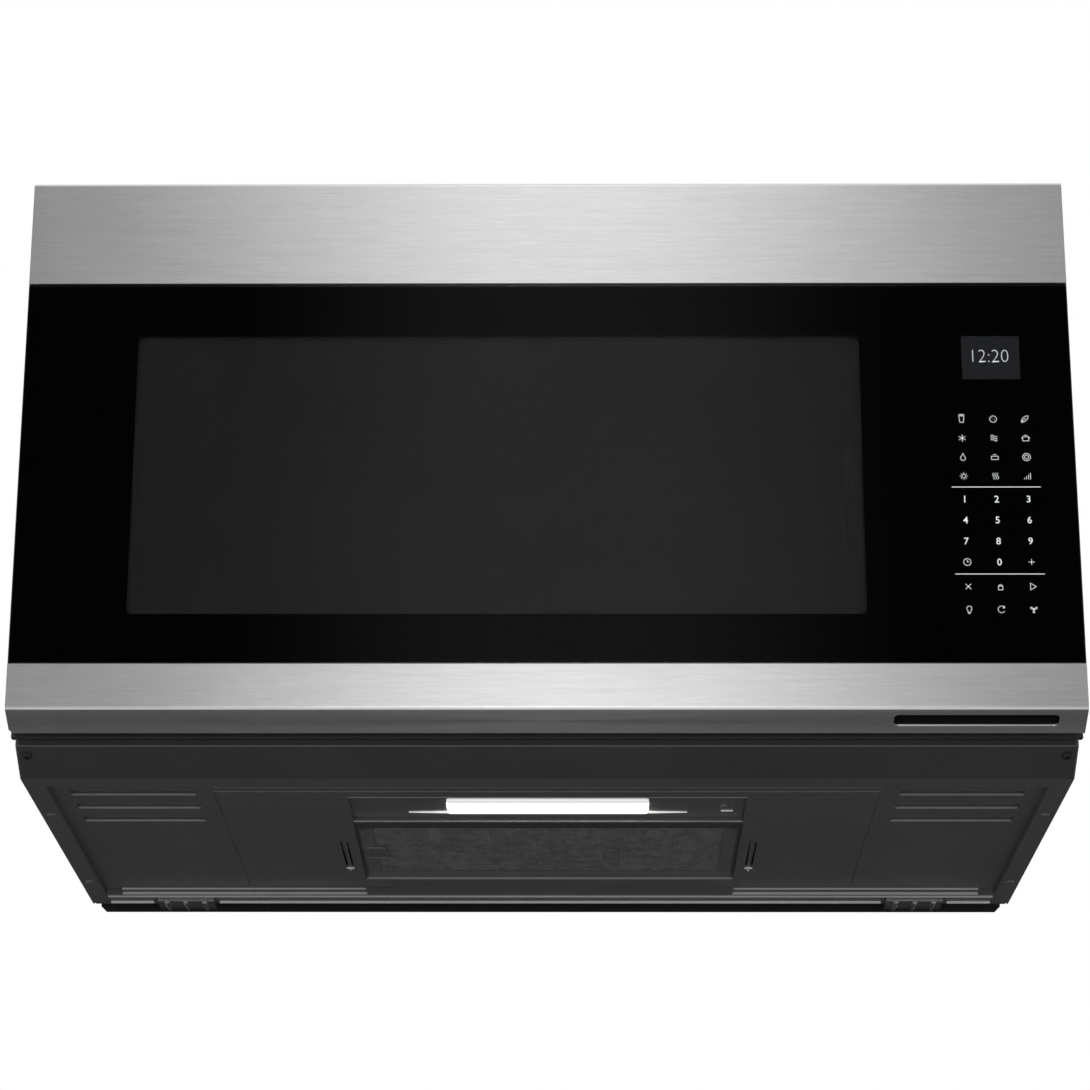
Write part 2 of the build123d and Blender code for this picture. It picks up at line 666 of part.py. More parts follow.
def door_body():
    """Moulded frame that carries the glass, the trims, the choke and the controls."""
    wide = (-MOULD_HALF, MOULD_HALF)
    body = plate("Y", wide, (BODY_LOW, BODY_HIGH), (MOULD_FRONT, MOULD_BACK))
    body += plate("Y", wide, (GLASS_HIGH, BODY_HIGH), (FRONT + TRIM_SHEET, MOULD_FRONT))
    body += plate("Y", wide, (BODY_LOW, GLASS_LOW), (FRONT + TRIM_SHEET, MOULD_FRONT))
    inner_back = (MOULD_FRONT + DOOR_WALL, MOULD_BACK)
    tall = (BODY_LOW + DOOR_WALL, BODY_HIGH - DOOR_WALL)
    body -= plate("Y", (-MOULD_HALF + DOOR_WALL, DIVIDER_X), tall, inner_back)
    body -= plate("Y", (DIVIDER_X + DOOR_WALL, MOULD_HALF - DOOR_WALL), tall, inner_back)
    body -= plate("Y", (WINDOW_LEFT, WINDOW_RIGHT), (WINDOW_LOW, WINDOW_HIGH), (FRONT, MOULD_BACK),
                  WINDOW_CORNER)
    body -= plate("Y", (TOUCH_LEFT, TOUCH_LEFT + TOUCH_WIDTH), (TOUCH_LOW, TOUCH_HIGH), (FRONT, MOULD_BACK))
    body -= plate("Y", (DISPLAY_LEFT, DISPLAY_LEFT + DISPLAY_WIDTH),
                  (DISPLAY_LOW, DISPLAY_LOW + DISPLAY_HEIGHT), (FRONT, MOULD_BACK))
    for low, high in ((BODY_LOW, BODY_LOW + PIN_DEPTH), (BODY_HIGH - PIN_DEPTH, BODY_HIGH)):
        body += rod("Z", PIN_BOSS, (HINGE_X, HINGE_Y), (low, high))
        body -= rod("Z", PIN_RADIUS, (HINGE_X, HINGE_Y), (low, high))
    peg = (MOULD_FRONT + DOOR_WALL, BAR_Y + SPRING_RADIUS)
    body += rod("Y", SPRING_PEG, (spring_place()[0], spring_place()[1] - SPRING_PEG - RUNNING_GAP), peg)
    return body - pocket_room()


def window_screen():
    lap = SCREEN_LAP
    return plate("Y", (WINDOW_LEFT - lap, WINDOW_RIGHT + lap), (WINDOW_LOW - lap, WINDOW_HIGH + lap),
                 (MOULD_FRONT + DOOR_WALL, MOULD_FRONT + DOOR_WALL + SCREEN_SHEET), 8)


def choke_limits(grow):
    """Outline of the choke, this far outside the part that seals against the front frame."""
    across = (CAVITY_LEFT - CHOKE_LAP - grow, CAVITY_RIGHT + CHOKE_LAP + grow)
    up = (CAVITY_FLOOR - CHOKE_LAP - grow, CAVITY_TOP + CHOKE_LAP + grow)
    return across, up


def inner_opening(back):
    """Window opening on the cavity's side of the door."""
    return (WINDOW_LEFT - back, WINDOW_RIGHT + back), (WINDOW_LOW - back, WINDOW_HIGH + back)


def choke_panel():
    """Steel frame behind the screen, with the quarter-wave groove all round."""
    start = MOULD_FRONT + DOOR_WALL + SCREEN_SHEET
    panel = plate("Y", *choke_limits(0), (start, MOULD_BACK), 10)
    panel -= plate("Y", *inner_opening(0), (start - 1, MOULD_BACK + 1), WINDOW_CORNER)
    groove_front = MOULD_BACK - CHOKE_GROOVE
    groove = plate("Y", *choke_limits(-CHOKE_WALL), (groove_front, MOULD_BACK), 8.5)
    groove -= plate("Y", *inner_opening(CHOKE_WALL), (groove_front, MOULD_BACK), 7.5)
    return panel - groove


def choke_cover():
    """Moulded inner face of the door: it closes the choke groove and the control side."""
    edge = 1.0
    cover = plate("Y", (-MOULD_HALF + edge, MOULD_HALF - edge), (BODY_LOW + edge, BODY_HIGH - edge),
                  (MOULD_BACK, DOOR_BACK), 6)
    cover -= plate("Y", *inner_opening(0), (MOULD_BACK - 1, DOOR_BACK + 1), WINDOW_CORNER)
    for low in (HOOK_LOW, HOOK_LOW + HOOK_SPACING):
        cover -= hook_slot(low, (MOULD_BACK - 1, DOOR_BACK + 1))
    rims = cover.faces().sort_by(Axis.Y)[-1].inner_wires().sort_by(lambda wire: wire.length)
    return fillet(rims[-1].edges(), 0.8)


def inner_window():
    return plate("Y", *inner_opening(0), (MOULD_BACK, MOULD_BACK + INNER_WINDOW_THICK), WINDOW_CORNER)


def hook_slot(low, through):
    """Slot that one latch hook passes, with room for its travel."""
    room = HOOK_ROOM
    return plate("Y", (BAR_LEFT - room, BAR_RIGHT + room),
                 (low - HOOK_BARB - room, low + HOOK_HEIGHT + HOOK_TRAVEL + room), through, SLOT_CORNER)


def touch_board():
    return plate("Y", (TOUCH_LEFT, TOUCH_LEFT + TOUCH_WIDTH), (TOUCH_LOW, TOUCH_HIGH),
                 (MOULD_FRONT, MOULD_FRONT + BOARD_THICK))


def control_board():
    """Board on four standoffs, with the display on its front and the relays and connector on its back."""
    right = MOULD_HALF - DOOR_WALL - 1
    left = right - CONTROL_WIDTH
    low, high = BODY_LOW + CONTROL_UP, BODY_HIGH - CONTROL_DOWN
    front = MOULD_FRONT + DISPLAY_DEPTH
    back = front + BOARD_THICK
    board = plate("Y", (left, right), (low, high), (front, back))
    board += plate("Y", (DISPLAY_LEFT, DISPLAY_LEFT + DISPLAY_WIDTH),
                   (DISPLAY_LOW, DISPLAY_LOW + DISPLAY_HEIGHT), (MOULD_FRONT, front))
    for x in (left + STANDOFF_IN, right - STANDOFF_IN):
        for z in (low + STANDOFF_IN, high - STANDOFF_IN):
            board += rod("Y", STANDOFF_RADIUS, (x, z), (MOULD_FRONT + DOOR_WALL, front))
    for row in range(3):
        under = low + RELAY_UP + row * RELAY_PITCH
        board += plate("Y", (left + RELAY_WIDTH, left + 2 * RELAY_WIDTH), (under, under + RELAY_HEIGHT),
                       (back, back + RELAY_DEPTH))
    over = high - SOCKET_DOWN
    return board + plate("Y", (right - STANDOFF_IN - 2 - SOCKET_WIDTH, right - STANDOFF_IN - 2),
                         (over - SOCKET_HEIGHT, over), (back, back + SOCKET_DEPTH))


# ---------------------------------------------------------------- hinge and latch
def hinge_levels():
    """Lower side of the lower arm and of the upper arm, with the edge of the moulded body each faces."""
    return ((BODY_LOW - HINGE_DROP - HINGE_ARM, BODY_LOW), (BODY_HIGH + HINGE_DROP, BODY_HIGH))


def hinge_pins():
    """Pins fixed in the door, each with the collar that the door turns on."""
    pins = []
    for low, edge in hinge_levels():
        upward = edge < low
        inner = edge - PIN_DEPTH if upward else edge + PIN_DEPTH
        outer = low + HINGE_ARM + 1 if upward else low - 1
        near = low - RUNNING_GAP if upward else low + HINGE_ARM + RUNNING_GAP
        pin = rod("Z", PIN_RADIUS, (HINGE_X, HINGE_Y), sorted((inner, outer)))
        pins.append(pin + rod("Z", PIN_BOSS, (HINGE_X, HINGE_Y), sorted((edge, near))))
    return pins


def hinge_bracket(low, leg_low):
    """Arm with an eye, folded from a leg that lies behind the front frame."""
    half = HINGE_ARM_WIDTH / 2
    level = (low, low + HINGE_ARM)
    bracket = plate("Z", (HINGE_X - half, HINGE_X + half), (HINGE_Y, FRAME_BACK + HINGE_ARM), level)
    bracket += rod("Z", HINGE_EYE, (HINGE_X, HINGE_Y), level)
    left = -INSIDE_HALF
    bracket += plate("Y", (left, left + HINGE_LEG_WIDTH), (leg_low, leg_low + HINGE_LEG),
                     (FRAME_BACK, FRAME_BACK + HINGE_ARM), 1)
    return bracket - rod("Z", PIN_RADIUS + SHAFT_GAP, (HINGE_X, HINGE_Y), level)


def hinge_brackets():
    """The lower and the upper bracket, with their legs pointing up and down."""
    lower, upper = (low for low, _ in hinge_levels())
    return [hinge_bracket(lower, lower - 3), hinge_bracket(upper, upper + HINGE_ARM - HINGE_LEG)]


def hook_profile(low):
    """One hook, seen from the side: an arm with a ramped barb under its tip."""
    root = DOOR_BACK - DOOR_DEPTH / 2
    tip = DOOR_BACK + HOOK_REACH
    return [(root, low), (tip - 9, low), (tip - 8, low - HOOK_BARB), (tip - 4, low - HOOK_BARB),
            (tip, low + HOOK_HEIGHT * 0.5), (tip - 4, low + HOOK_HEIGHT), (root, low + HOOK_HEIGHT)]


def latch_hooks():
    """Bar with two hooks, and at its top the lug that the spring pulls down."""
    across = (BAR_LEFT, BAR_RIGHT)
    deep = (BAR_Y - LATCH_BAR / 2, BAR_Y + LATCH_BAR / 2)
    latch = plate("X", deep, (HOOK_LOW - BAR_BELOW, BAR_TOP), across, 2)
    latch += plate("X", deep, (BAR_TOP - 2 - LUG_THICK, BAR_TOP - 2), (BAR_LEFT, BAR_RIGHT + LUG_REACH))
    for low in (HOOK_LOW, HOOK_LOW + HOOK_SPACING):
        latch += prism("X", hook_profile(low), across)
    return latch


def spring_place():
    """X of the latch spring's axis, and the level of its lower end."""
    top = BAR_TOP - 2 - LUG_THICK - RUNNING_GAP
    return BAR_RIGHT + RUNNING_GAP + SPRING_RADIUS + SPRING_WIRE, top - SPRING_LENGTH - 2 * SPRING_WIRE


def latch_spring():
    """Tension spring at rest: it hangs from the bar's lug down to a peg, and draws the hooks down."""
    x, low = spring_place()
    turns = Helix(pitch=SPRING_LENGTH / SPRING_TURNS, height=SPRING_LENGTH, radius=SPRING_RADIUS)
    wire = Plane(turns @ 0, z_dir=turns % 0) * RegularPolygon(SPRING_WIRE / 2, SPRING_SIDES)
    return Pos(x, BAR_Y, low + SPRING_WIRE) * sweep(wire.face(), turns)


# ---------------------------------------------------------------- cabinet shells
def outer_wrapper():
    """One sheet folded over the top and down both sides, with a nut welded under each cabinet bolt hole."""
    line = [(BODY_HALF, 0), (BODY_HALF, BODY_HEIGHT), (-BODY_HALF, BODY_HEIGHT), (-BODY_HALF, 0)]
    wrapper = folded("Y", line, SHEET, (FRAME_BACK, BODY_BACK), FOLD)
    under_slope = [(FRAME_BACK - 1, -1), (FRAME_BACK + SLOPE_RUN, -1), (FRAME_BACK + SLOPE_RUN, 0),
                   (FRAME_BACK, SLOPE_TOP), (FRAME_BACK - 1, SLOPE_TOP)]
    wrapper -= prism("X", under_slope, (-BODY_HALF - 1, BODY_HALF + 1))
    top = (INSIDE_TOP - 1, BODY_HEIGHT + 1)
    wrapper -= plate("Z", (-EXHAUST_WIDTH / 2, EXHAUST_WIDTH / 2),
                     (BLOWER_Y - EXHAUST_DEPTH / 2, BLOWER_Y + EXHAUST_DEPTH / 2), top, 3)
    for side in (-1, 1):
        x, half = side * BOLT_SPACING / 2, NUT_WIDTH / 2
        wrapper += plate("Z", (x - half, x + half), (BOLT_Y - half, BOLT_Y + half),
                         (INSIDE_TOP - NUT_HEIGHT, INSIDE_TOP), 2)
        wrapper -= rod("Z", BOLT_RADIUS, (x, BOLT_Y), (INSIDE_TOP - NUT_HEIGHT - 1, BODY_HEIGHT + 1))
    for row in range(INLET_COUNT):
        y = INLET_Y - row * INLET_PITCH
        wrapper -= plate("Z", (FAN_X - INLET_LONG / 2, FAN_X + INLET_LONG / 2),
                         (y - INLET_WIDTH / 2, y + INLET_WIDTH / 2), top, INLET_WIDTH * 0.45)
    return wrapper - rod("Z", GLAND_NECK, (GLAND_X, GLAND_Y), top)


def rear_panel():
    return plate("Y", (-INSIDE_HALF, INSIDE_HALF), (0, INSIDE_TOP), (REAR_INSIDE, BODY_BACK), 2)


def front_frame():
    """Face plate of the cavity, which also carries the grille, the latch bracket and the hinges."""
    through = (FRAME_FRONT - 1, FRAME_BACK + 1)
    frame = plate("Y", (-BODY_HALF, BODY_HALF), (FRAME_BOTTOM, BODY_HEIGHT), (FRAME_FRONT, FRAME_BACK), 2)
    frame -= plate("Y", (CAVITY_LEFT, CAVITY_RIGHT), (CAVITY_FLOOR, CAVITY_TOP), through, CAVITY_CORNER)
    frame -= plate("Y", *vent_limits(), through, 4)
    for low in (HOOK_LOW, HOOK_LOW + HOOK_SPACING):
        frame -= hook_slot(low, through)
    half = HINGE_ARM_WIDTH / 2 + SEAM
    for low, _ in hinge_levels():
        frame -= plate("Y", (HINGE_X - half, HINGE_X + half), (low - SEAM, low + HINGE_ARM + SEAM), through)
    return frame


def oven_cavity():
    """Welded box, open at the front, with the roller track, side beads and the waveguide's port."""
    across, up = (CAVITY_LEFT, CAVITY_RIGHT), (CAVITY_FLOOR, CAVITY_TOP)
    outer_across = (CAVITY_LEFT - SHEET, BAY_LEFT)
    outer_up = (CAVITY_FLOOR - SHEET, ROOF)
    box = plate("Y", outer_across, outer_up, (FRAME_BACK, CAVITY_REAR + SHEET), CAVITY_CORNER + SHEET)
    box -= plate("Y", across, up, (FRAME_BACK, CAVITY_REAR), CAVITY_CORNER)
    centre = (TURN_X, TURN_Y)
    track = (ROLLER_CIRCLE + TRACK_WIDTH / 2, ROLLER_CIRCLE - TRACK_WIDTH / 2)
    box += ring("Z", track[0] + SHEET, track[1] - SHEET, centre,
                (CAVITY_FLOOR - TRACK_DEPTH - SHEET, CAVITY_FLOOR - SHEET))
    box -= ring("Z", *track, centre, (CAVITY_FLOOR - TRACK_DEPTH, CAVITY_FLOOR))
    box -= rod("Z", STEM_RADIUS + 1, centre, (0, CAVITY_FLOOR))
    for z in (CAVITY_FLOOR + CAVITY_HEIGHT * 0.25, CAVITY_FLOOR + CAVITY_HEIGHT * 0.75):
        half, inner = BEAD_HALF, BEAD_HALF - SHEET
        run = (FRAME_BACK + BEAD_IN, CAVITY_REAR - BEAD_IN)
        box += plate("X", run, (z - half, z + half),
                     (CAVITY_LEFT - SHEET - WALL_BEAD, CAVITY_LEFT - SHEET), half - 0.5)
        box -= plate("X", (run[0] + SHEET, run[1] - SHEET), (z - inner, z + inner),
                     (CAVITY_LEFT - WALL_BEAD, CAVITY_LEFT), inner - 0.5)
    return box - port_hole((CAVITY_RIGHT - 1, BAY_LEFT + 1)) - lamp_holes()


def port_hole(through):
    border = PORT_BORDER
    front = GUIDE_BACK - GUIDE_LONG + border
    up = (GUIDE_LOW + border, GUIDE_LOW + GUIDE_HIGH - border)
    return plate("X", (front, front + PORT_LONG), up, through, 4)


def lamp_places():
    """Centre of the oven lamp in the cavity's right wall."""
    return FRAME_BACK + LAMP_BACK, CAVITY_TOP - LAMP_DOWN


def lamp_holes():
    y, z = lamp_places()
    steps = (-LAMP_HOLE_PITCH, 0, LAMP_HOLE_PITCH)
    wall = (CAVITY_RIGHT - 1, BAY_LEFT + 1)
    return [rod("X", LAMP_HOLE, (y + across, z + up), wall) for up in steps for across in steps]


def duct_wall():
    """Folded divider between the exhaust duct over the cavity and the component bay."""
    line = [(CAVITY_RIGHT - DUCT_FOOT, ROOF), (CAVITY_RIGHT, ROOF), (CAVITY_RIGHT, INSIDE_TOP)]
    return folded("Y", line, SHEET, (FRAME_BACK, REAR_INSIDE))


def blower_plate():
    """Steel plate under the cabinet's top that closes the duct over both blowers."""
    half, deep = EXHAUST_WIDTH / 2 + EXHAUST_LAP, EXHAUST_DEPTH / 2 + EXHAUST_LAP
    return plate("Z", (-half, half), (BLOWER_Y - deep, BLOWER_Y + deep), (INSIDE_TOP - SHEET, INSIDE_TOP), 3)


def cord_gland():
    centre = (GLAND_X, GLAND_Y)
    low = INSIDE_TOP - GLAND_FLANGE
    bush = rod("Z", GLAND_NECK, centre, (low, BODY_HEIGHT + 1))
    bush += rod("Z", GLAND_NECK + GLAND_FLANGE, centre, (low, INSIDE_TOP))
    return bush - rod("Z", GLAND_BORE, centre, (low, BODY_HEIGHT + 1))


# ---------------------------------------------------------------- wall plate
def wall_plate():
    """Pressed plate: hollow ribs hold the cabinet off the wall, and the lower corners are cut off."""
    half, cut = PLATE_WIDTH / 2, PLATE_CORNER
    outline = [(-half + cut, -PLATE_BELOW), (half - cut, -PLATE_BELOW), (half, cut - PLATE_BELOW),
               (half, PLATE_TOP), (-half, PLATE_TOP), (-half, cut - PLATE_BELOW)]
    panel = prism("Y", outline, (-PLATE_SHEET, 0))
    for x in PLATE_RIBS:
        low, high = PLATE_RIB_LOW, PLATE_TOP - PLATE_RIB_END
        rib = (x - PLATE_RIB_WIDTH / 2, x + PLATE_RIB_WIDTH / 2)
        panel += plate("Y", rib, (low, high), (BODY_BACK, -PLATE_SHEET), 6)
        inner = (rib[0] + PLATE_SHEET, rib[1] - PLATE_SHEET)
        panel -= plate("Y", inner, (low + PLATE_SHEET, high - PLATE_SHEET), (BODY_BACK + PLATE_SHEET, 1), 4)
    for spread_x, spread_z in ((TOGGLE_SPACING_X, TOGGLE_SPACING_Z), (STUD_SPACING_X, STUD_SPACING_Z)):
        for x in (-spread_x / 2, spread_x / 2):
            for z in (HOLES_UP - spread_z / 2, HOLES_UP + spread_z / 2):
                panel -= rod("Y", PLATE_HOLE, (x, z), (-PLATE_SHEET - 1, 1))
    return panel


def wall_hooks():
    """Two folded support tabs: the cabinet's rear rail rests on them, and their lips enter its slots."""
    sheet = HOOK_TAB_SHEET
    line = [(-PLATE_SHEET, HOOK_TAB_UP), (-PLATE_SHEET, -sheet), (-PLATE_SHEET - HOOK_TAB_RUN, -sheet),
            (-PLATE_SHEET - HOOK_TAB_RUN, HOOK_LIP)]
    reach = (-PLATE_SHEET - HOOK_TAB_RUN, -PLATE_SHEET - sheet)
    tabs = []
    for side in (-1, 1):
        x = side * HOOK_TAB_X
        tab = folded("X", line[::-1], sheet, (x - HOOK_TAB_WIDTH / 2, x + HOOK_TAB_WIDTH / 2))
        for step in (-1, 0, 1):
            tab += rod("Y", HOOK_KNUCKLE, (x + step * HOOK_TAB_WIDTH / 3, -sheet), reach)
        tabs.append(tab)
    return tabs


# ---------------------------------------------------------------- underside
def light_limits(grow):
    return (-LIGHT_HALF - grow, LIGHT_HALF + grow), (LIGHT_FRONT - grow, LIGHT_FRONT + LIGHT_DEPTH + grow)


def filter_opening(grow):
    return (-FILTER_HALF - grow, FILTER_HALF + grow), (FILTER_FRONT - grow, FILTER_BACK + grow)


def rib_ramps(grow):
    """Pressed ribs on both sides of the floor, each a shallow ramp that ends in a step at the rear."""
    ramps = []
    for row in range(RIB_COUNT):
        back = RIB_FIRST + row * RIB_PITCH
        ramp = [(back - RIB_RUN - grow, FLOOR_UP), (back + grow, FLOOR_UP),
                (back + grow, FLOOR_UP + RIB_DEPTH + grow), (back - RIB_RUN - grow, FLOOR_UP + grow)]
        for left in (RIB_INNER, -RIB_INNER - RIB_WIDTH):
            ramps.append(prism("X", ramp if grow else ramp[:3], (left - grow, left + RIB_WIDTH + grow)))
    return ramps


def hook_lip_slots():
    lip = -PLATE_SHEET - HOOK_TAB_RUN
    slots = []
    for side in (-1, 1):
        x = side * HOOK_TAB_X
        half = HOOK_TAB_WIDTH / 2 + 1
        slots.append(plate("Z", (x - half, x + half), (lip - 1, lip + HOOK_TAB_SHEET + 1), (-1, 3)))
    return slots


def base_pan():
    """Pan with a sloped front, a flat rim, a recessed floor and collared openings for light and filter."""
    sheet = FRAME_SHEET
    lip = FRAME_BOTTOM + FOLD
    line = [(FRAME_BACK, lip), (FRAME_BACK, SLOPE_TOP), (PAN_FLAT, 0), (REAR_INSIDE, 0),
            (REAR_INSIDE, PAN_WALL)]
    pan = folded("X", line, sheet, (-INSIDE_HALF, INSIDE_HALF), FOLD)
    inner = INSIDE_HALF - RIM_SIDE + SHEET
    pan += plate("Z", (-inner - sheet, inner + sheet), (RECESS_FRONT - sheet, RECESS_BACK + sheet),
                 (0, PAN_TOP), 3 + sheet)
    pan -= plate("Z", (-inner, inner), (RECESS_FRONT, RECESS_BACK), (-1, FLOOR_UP), 3)
    rail = (FILTER_BACK, RECESS_BACK + sheet)
    pan += plate("Z", (-RAIL_HALF, RAIL_HALF), rail, (0, PAN_TOP))
    pan -= plate("Z", (sheet - RAIL_HALF, RAIL_HALF - sheet), (rail[0] + sheet, rail[1]), (sheet, PAN_TOP))
    pan += plate("Z", *light_limits(sheet), (FLOOR_UP, FLOOR_UP + COLLAR), 1 + sheet)
    pan -= plate("Z", *light_limits(0), (0, FLOOR_UP + COLLAR + 1), 1)
    for y in (FILTER_FRONT - sheet, FILTER_BACK):
        pan += plate("Z", filter_opening(0)[0], (y, y + sheet), (FLOOR_UP, FLOOR_UP + COLLAR))
    pan -= plate("Z", *filter_opening(0), (0, PAN_TOP + COLLAR + 1))
    pan = pan + rib_ramps(sheet) - rib_ramps(0) - seam_lines()
    pan = pan + rear_steps(0) - rear_steps(sheet) + rail_beads(0) - rail_beads(sheet)
    x, y = spring_slot_place()
    for side in (-1, 1):
        pan -= plate("Z", (side * x - SLOT_WIDTH / 2, side * x + SLOT_WIDTH / 2),
                     (y - SLOT_LENGTH / 2, y + SLOT_LENGTH / 2), (0, PAN_TOP + 1), SLOT_WIDTH * 0.45)
    for place, way in base_screw_places():
        pan -= Plane(origin=place, z_dir=way) * Cylinder(SCREW_SHANK, 4 * sheet)
    return pan - hook_lip_slots() - trunnions(SHAFT_GAP)


def rear_steps(sheet):
    """Two pressed steps at each side, from the floor down to the rear rail, or the space over their sheet."""
    first, ledge, second = STEP_RUNS
    edge = RECESS_BACK - second
    start = edge - ledge - first
    line = [(start, FLOOR_UP), (start + first, STEP_LEVEL), (edge, STEP_LEVEL), (RECESS_BACK, 0)]
    top = PAN_TOP + sheet
    outline = [(y, z + sheet * 1.2) for y, z in line] + [(RECESS_BACK, top), (start, top)]
    steps = prism("X", outline, (RAIL_HALF + sheet, STEP_END - sheet))
    return [steps, mirrored(steps)]


def rail_beads(sheet):
    """Half-round beads pressed down along the rear rail, or the grooves over their sheet."""
    beads = []
    for back, width, height in BEAD_PLACES:
        y = RECESS_BACK + back
        radius = (width * width / 4 + height * height) / (2 * height)
        for across in bead_spans(y):
            bead = rod("X", radius - sheet, (y, radius - height), (across[0] + sheet, across[1] - sheet))
            beads.append(bead if sheet else bead & plate("Z", across, (y - radius, y + radius), (-height, 0)))
    return beads


def bead_spans(y):
    """The bead in front of the wall plate's tabs runs right across, and the one over them stops at each."""
    end = INSIDE_HALF - RIM_SIDE
    if y < -PLATE_SHEET - HOOK_TAB_RUN - BEAD_TO_TAB:
        return [(-end, end)]
    room = HOOK_TAB_WIDTH / 2 + BEAD_TO_TAB
    inner, outer = HOOK_TAB_X - room, HOOK_TAB_X + room
    return [(-end, -outer), (-inner, inner), (outer, end)]


def seam_lines():
    """Pressed line across the floor in front of the light, doubled, and one down each side of the filter."""
    level = (FLOOR_UP - 1, FLOOR_UP + SEAM_DEPTH)
    front = RECESS_FRONT + SEAM_FRONT
    lines = []
    for y in (front, front + SEAM_PITCH):
        lines.append(plate("Z", (-SEAM_HALF, SEAM_HALF), (y, y + SEAM_WIDTH), level))
    for side in (-1, 1):
        across = sorted((side * SEAM_HALF, side * (SEAM_HALF - SEAM_WIDTH)))
        lines.append(plate("Z", across, (front, RECESS_BACK), level))
    return lines


def spring_slot_place():
    """Centre of the slot under each end of the filter, on the right-hand side."""
    return FILTER_END + SLOT_CENTRE, FILTER_CENTRE + SLOT_SHIFT


def trunnion_place():
    """X and Z of the light cover's pivot."""
    return -LIGHT_HALF + RUNNING_GAP + TRUNNION + TRUNNION_IN, FLOOR_UP + LIGHT_UP + COVER_SHEET / 2


def trunnions(grow):
    """The cover's two pivot studs, or with a clearance the holes they turn in."""
    low, high = light_limits(0)[1]
    reach, inside = FRAME_SHEET, TRUNNION_LONG
    return [rod("Y", TRUNNION + grow, trunnion_place(), (low - reach, low + inside)),
            rod("Y", TRUNNION + grow, trunnion_place(), (high - inside, high + reach))]


def light_cover():
    """Painted plate with the lens's opening, two pivot studs at the left and a screw at the right."""
    low = FLOOR_UP + LIGHT_UP
    across, deep = light_limits(-RUNNING_GAP)
    through = (low - 1, low + COVER_SHEET + 1)
    cover = plate("Z", across, deep, (low, low + COVER_SHEET), 1)
    cover -= plate("Z", (-LENS_HALF, LENS_HALF), lens_deep(), through, LENS_CORNER)
    cover += trunnions(0)
    cover -= rod("Z", SCREW_SHANK, light_screw_place(), through)
    return [cover, screw((*light_screw_place(), low), (0, 0, -1), COVER_SHEET)]


def light_screw_place():
    return LIGHT_HALF - COVER_SCREW_IN, LIGHT_CENTRE


def lens_deep():
    return LIGHT_CENTRE - LENS_DEPTH / 2, LIGHT_CENTRE + LENS_DEPTH / 2


def light_lens():
    """Clear lens pressed through the cover, with a lip that holds it from above."""
    low = FLOOR_UP + LIGHT_UP
    deep = lens_deep()
    lens = plate("Z", (-LENS_HALF, LENS_HALF), deep, (low - LENS_DROP, low + COVER_SHEET), LENS_CORNER)
    lens = chamfer(lens.faces().sort_by(Axis.Z)[0].edges(), 1)
    lip, top = LENS_LIP, low + COVER_SHEET
    return lens + plate("Z", (-LENS_HALF - lip, LENS_HALF + lip), (deep[0] - lip, deep[1] + lip),
                        (top, top + 1), LENS_CORNER + lip)


def lamp_housing():
    """Steel box over the light's recess, standing on its collar."""
    low = FLOOR_UP + COLLAR
    high = low + LAMP_HOUSING
    housing = plate("Z", *light_limits(FRAME_SHEET), (low, high), 1 + FRAME_SHEET)
    return housing - plate("Z", *light_limits(0), (low - 1, high - SHEET), 1)


def cooktop_lamp_board():
    """Board under the housing's roof with a row of light emitters in reflector cups."""
    roof = FLOOR_UP + COLLAR + LAMP_HOUSING - SHEET
    half = LAMP_BOARD_DEEP / 2
    face = roof - BOARD_THICK
    deep = (LIGHT_CENTRE - half, LIGHT_CENTRE + half)
    board = plate("Z", (-LAMP_BOARD_HALF, LAMP_BOARD_HALF), deep, (face, roof))
    for place in range(CUP_COUNT):
        x = (place - (CUP_COUNT - 1) / 2) * CUP_PITCH
        cup = Cone(CUP_RADIUS, CUP_NECK, CUP_HEIGHT, align=(Align.CENTER, Align.CENTER, Align.MIN))
        board += Pos(x, LIGHT_CENTRE, face - CUP_HEIGHT) * cup
    return board


def filter_level():
    return PAN_TOP + RUNNING_GAP


def filter_frame():
    """Aluminium rim of the grease filter, wider than its opening at both ends, and its pull tab."""
    low = filter_level()
    front, back = FILTER_FRONT + 1, FILTER_BACK - 1
    frame = plate("Z", (-FILTER_END, FILTER_END), (front, back), (low, low + FILTER_THICK), 4)
    border = FILTER_BORDER
    frame -= plate("Z", (border - FILTER_END, FILTER_END - border), (front + border, back - border),
                   (low - 1, low + FILTER_THICK + 1), 3)
    return [frame, filter_tab()]


def filter_mesh():
    """Two layers of pressed mesh in the frame, taken as one block with rolled edges."""
    half = FILTER_END - FILTER_BORDER
    low = filter_level() + MESH_UP
    inset = 1 + FILTER_BORDER
    mesh = plate("Z", (-half, half), (FILTER_FRONT + inset, FILTER_BACK - inset), (low, low + MESH_THICK), 3)
    return mesh - filter_tab_room()


def filter_tab_room():
    low = filter_level()
    return plate("Z", (TAB_X - TAB_HALF_WIDTH, TAB_X + TAB_HALF_WIDTH),
                 (TAB_Y - TAB_HALF_LONG, TAB_Y + TAB_HALF_LONG), (low, low + FILTER_THICK), 2)


def filter_tab():
    """Folded pull tab, hinged over the frame's left border."""
    low = filter_level()
    wide, long = TAB_HALF_WIDTH, TAB_HALF_LONG
    tab = plate("Z", (TAB_X - wide, TAB_X + wide), (TAB_Y - long, TAB_Y + long), (low, low + TAB_THICK), 2)
    tab += plate("Z", (TAB_X - wide, TAB_X - wide + TAB_THICK), (TAB_Y - long + 6, TAB_Y + long - 6),
                 (low, low + FILTER_THICK))
    tab -= plate("Z", (TAB_X - wide + 5, TAB_X + wide - 2), (TAB_Y - long + 4, TAB_Y + long - 4),
                 (low - 1, low + TAB_THICK / 2), 1.5)
    return tab - plate("Z", (-FILTER_END, FILTER_BORDER - FILTER_END), (TAB_Y - long - 4, TAB_Y + long + 4),
                       (low, low + FILTER_THICK + 1))


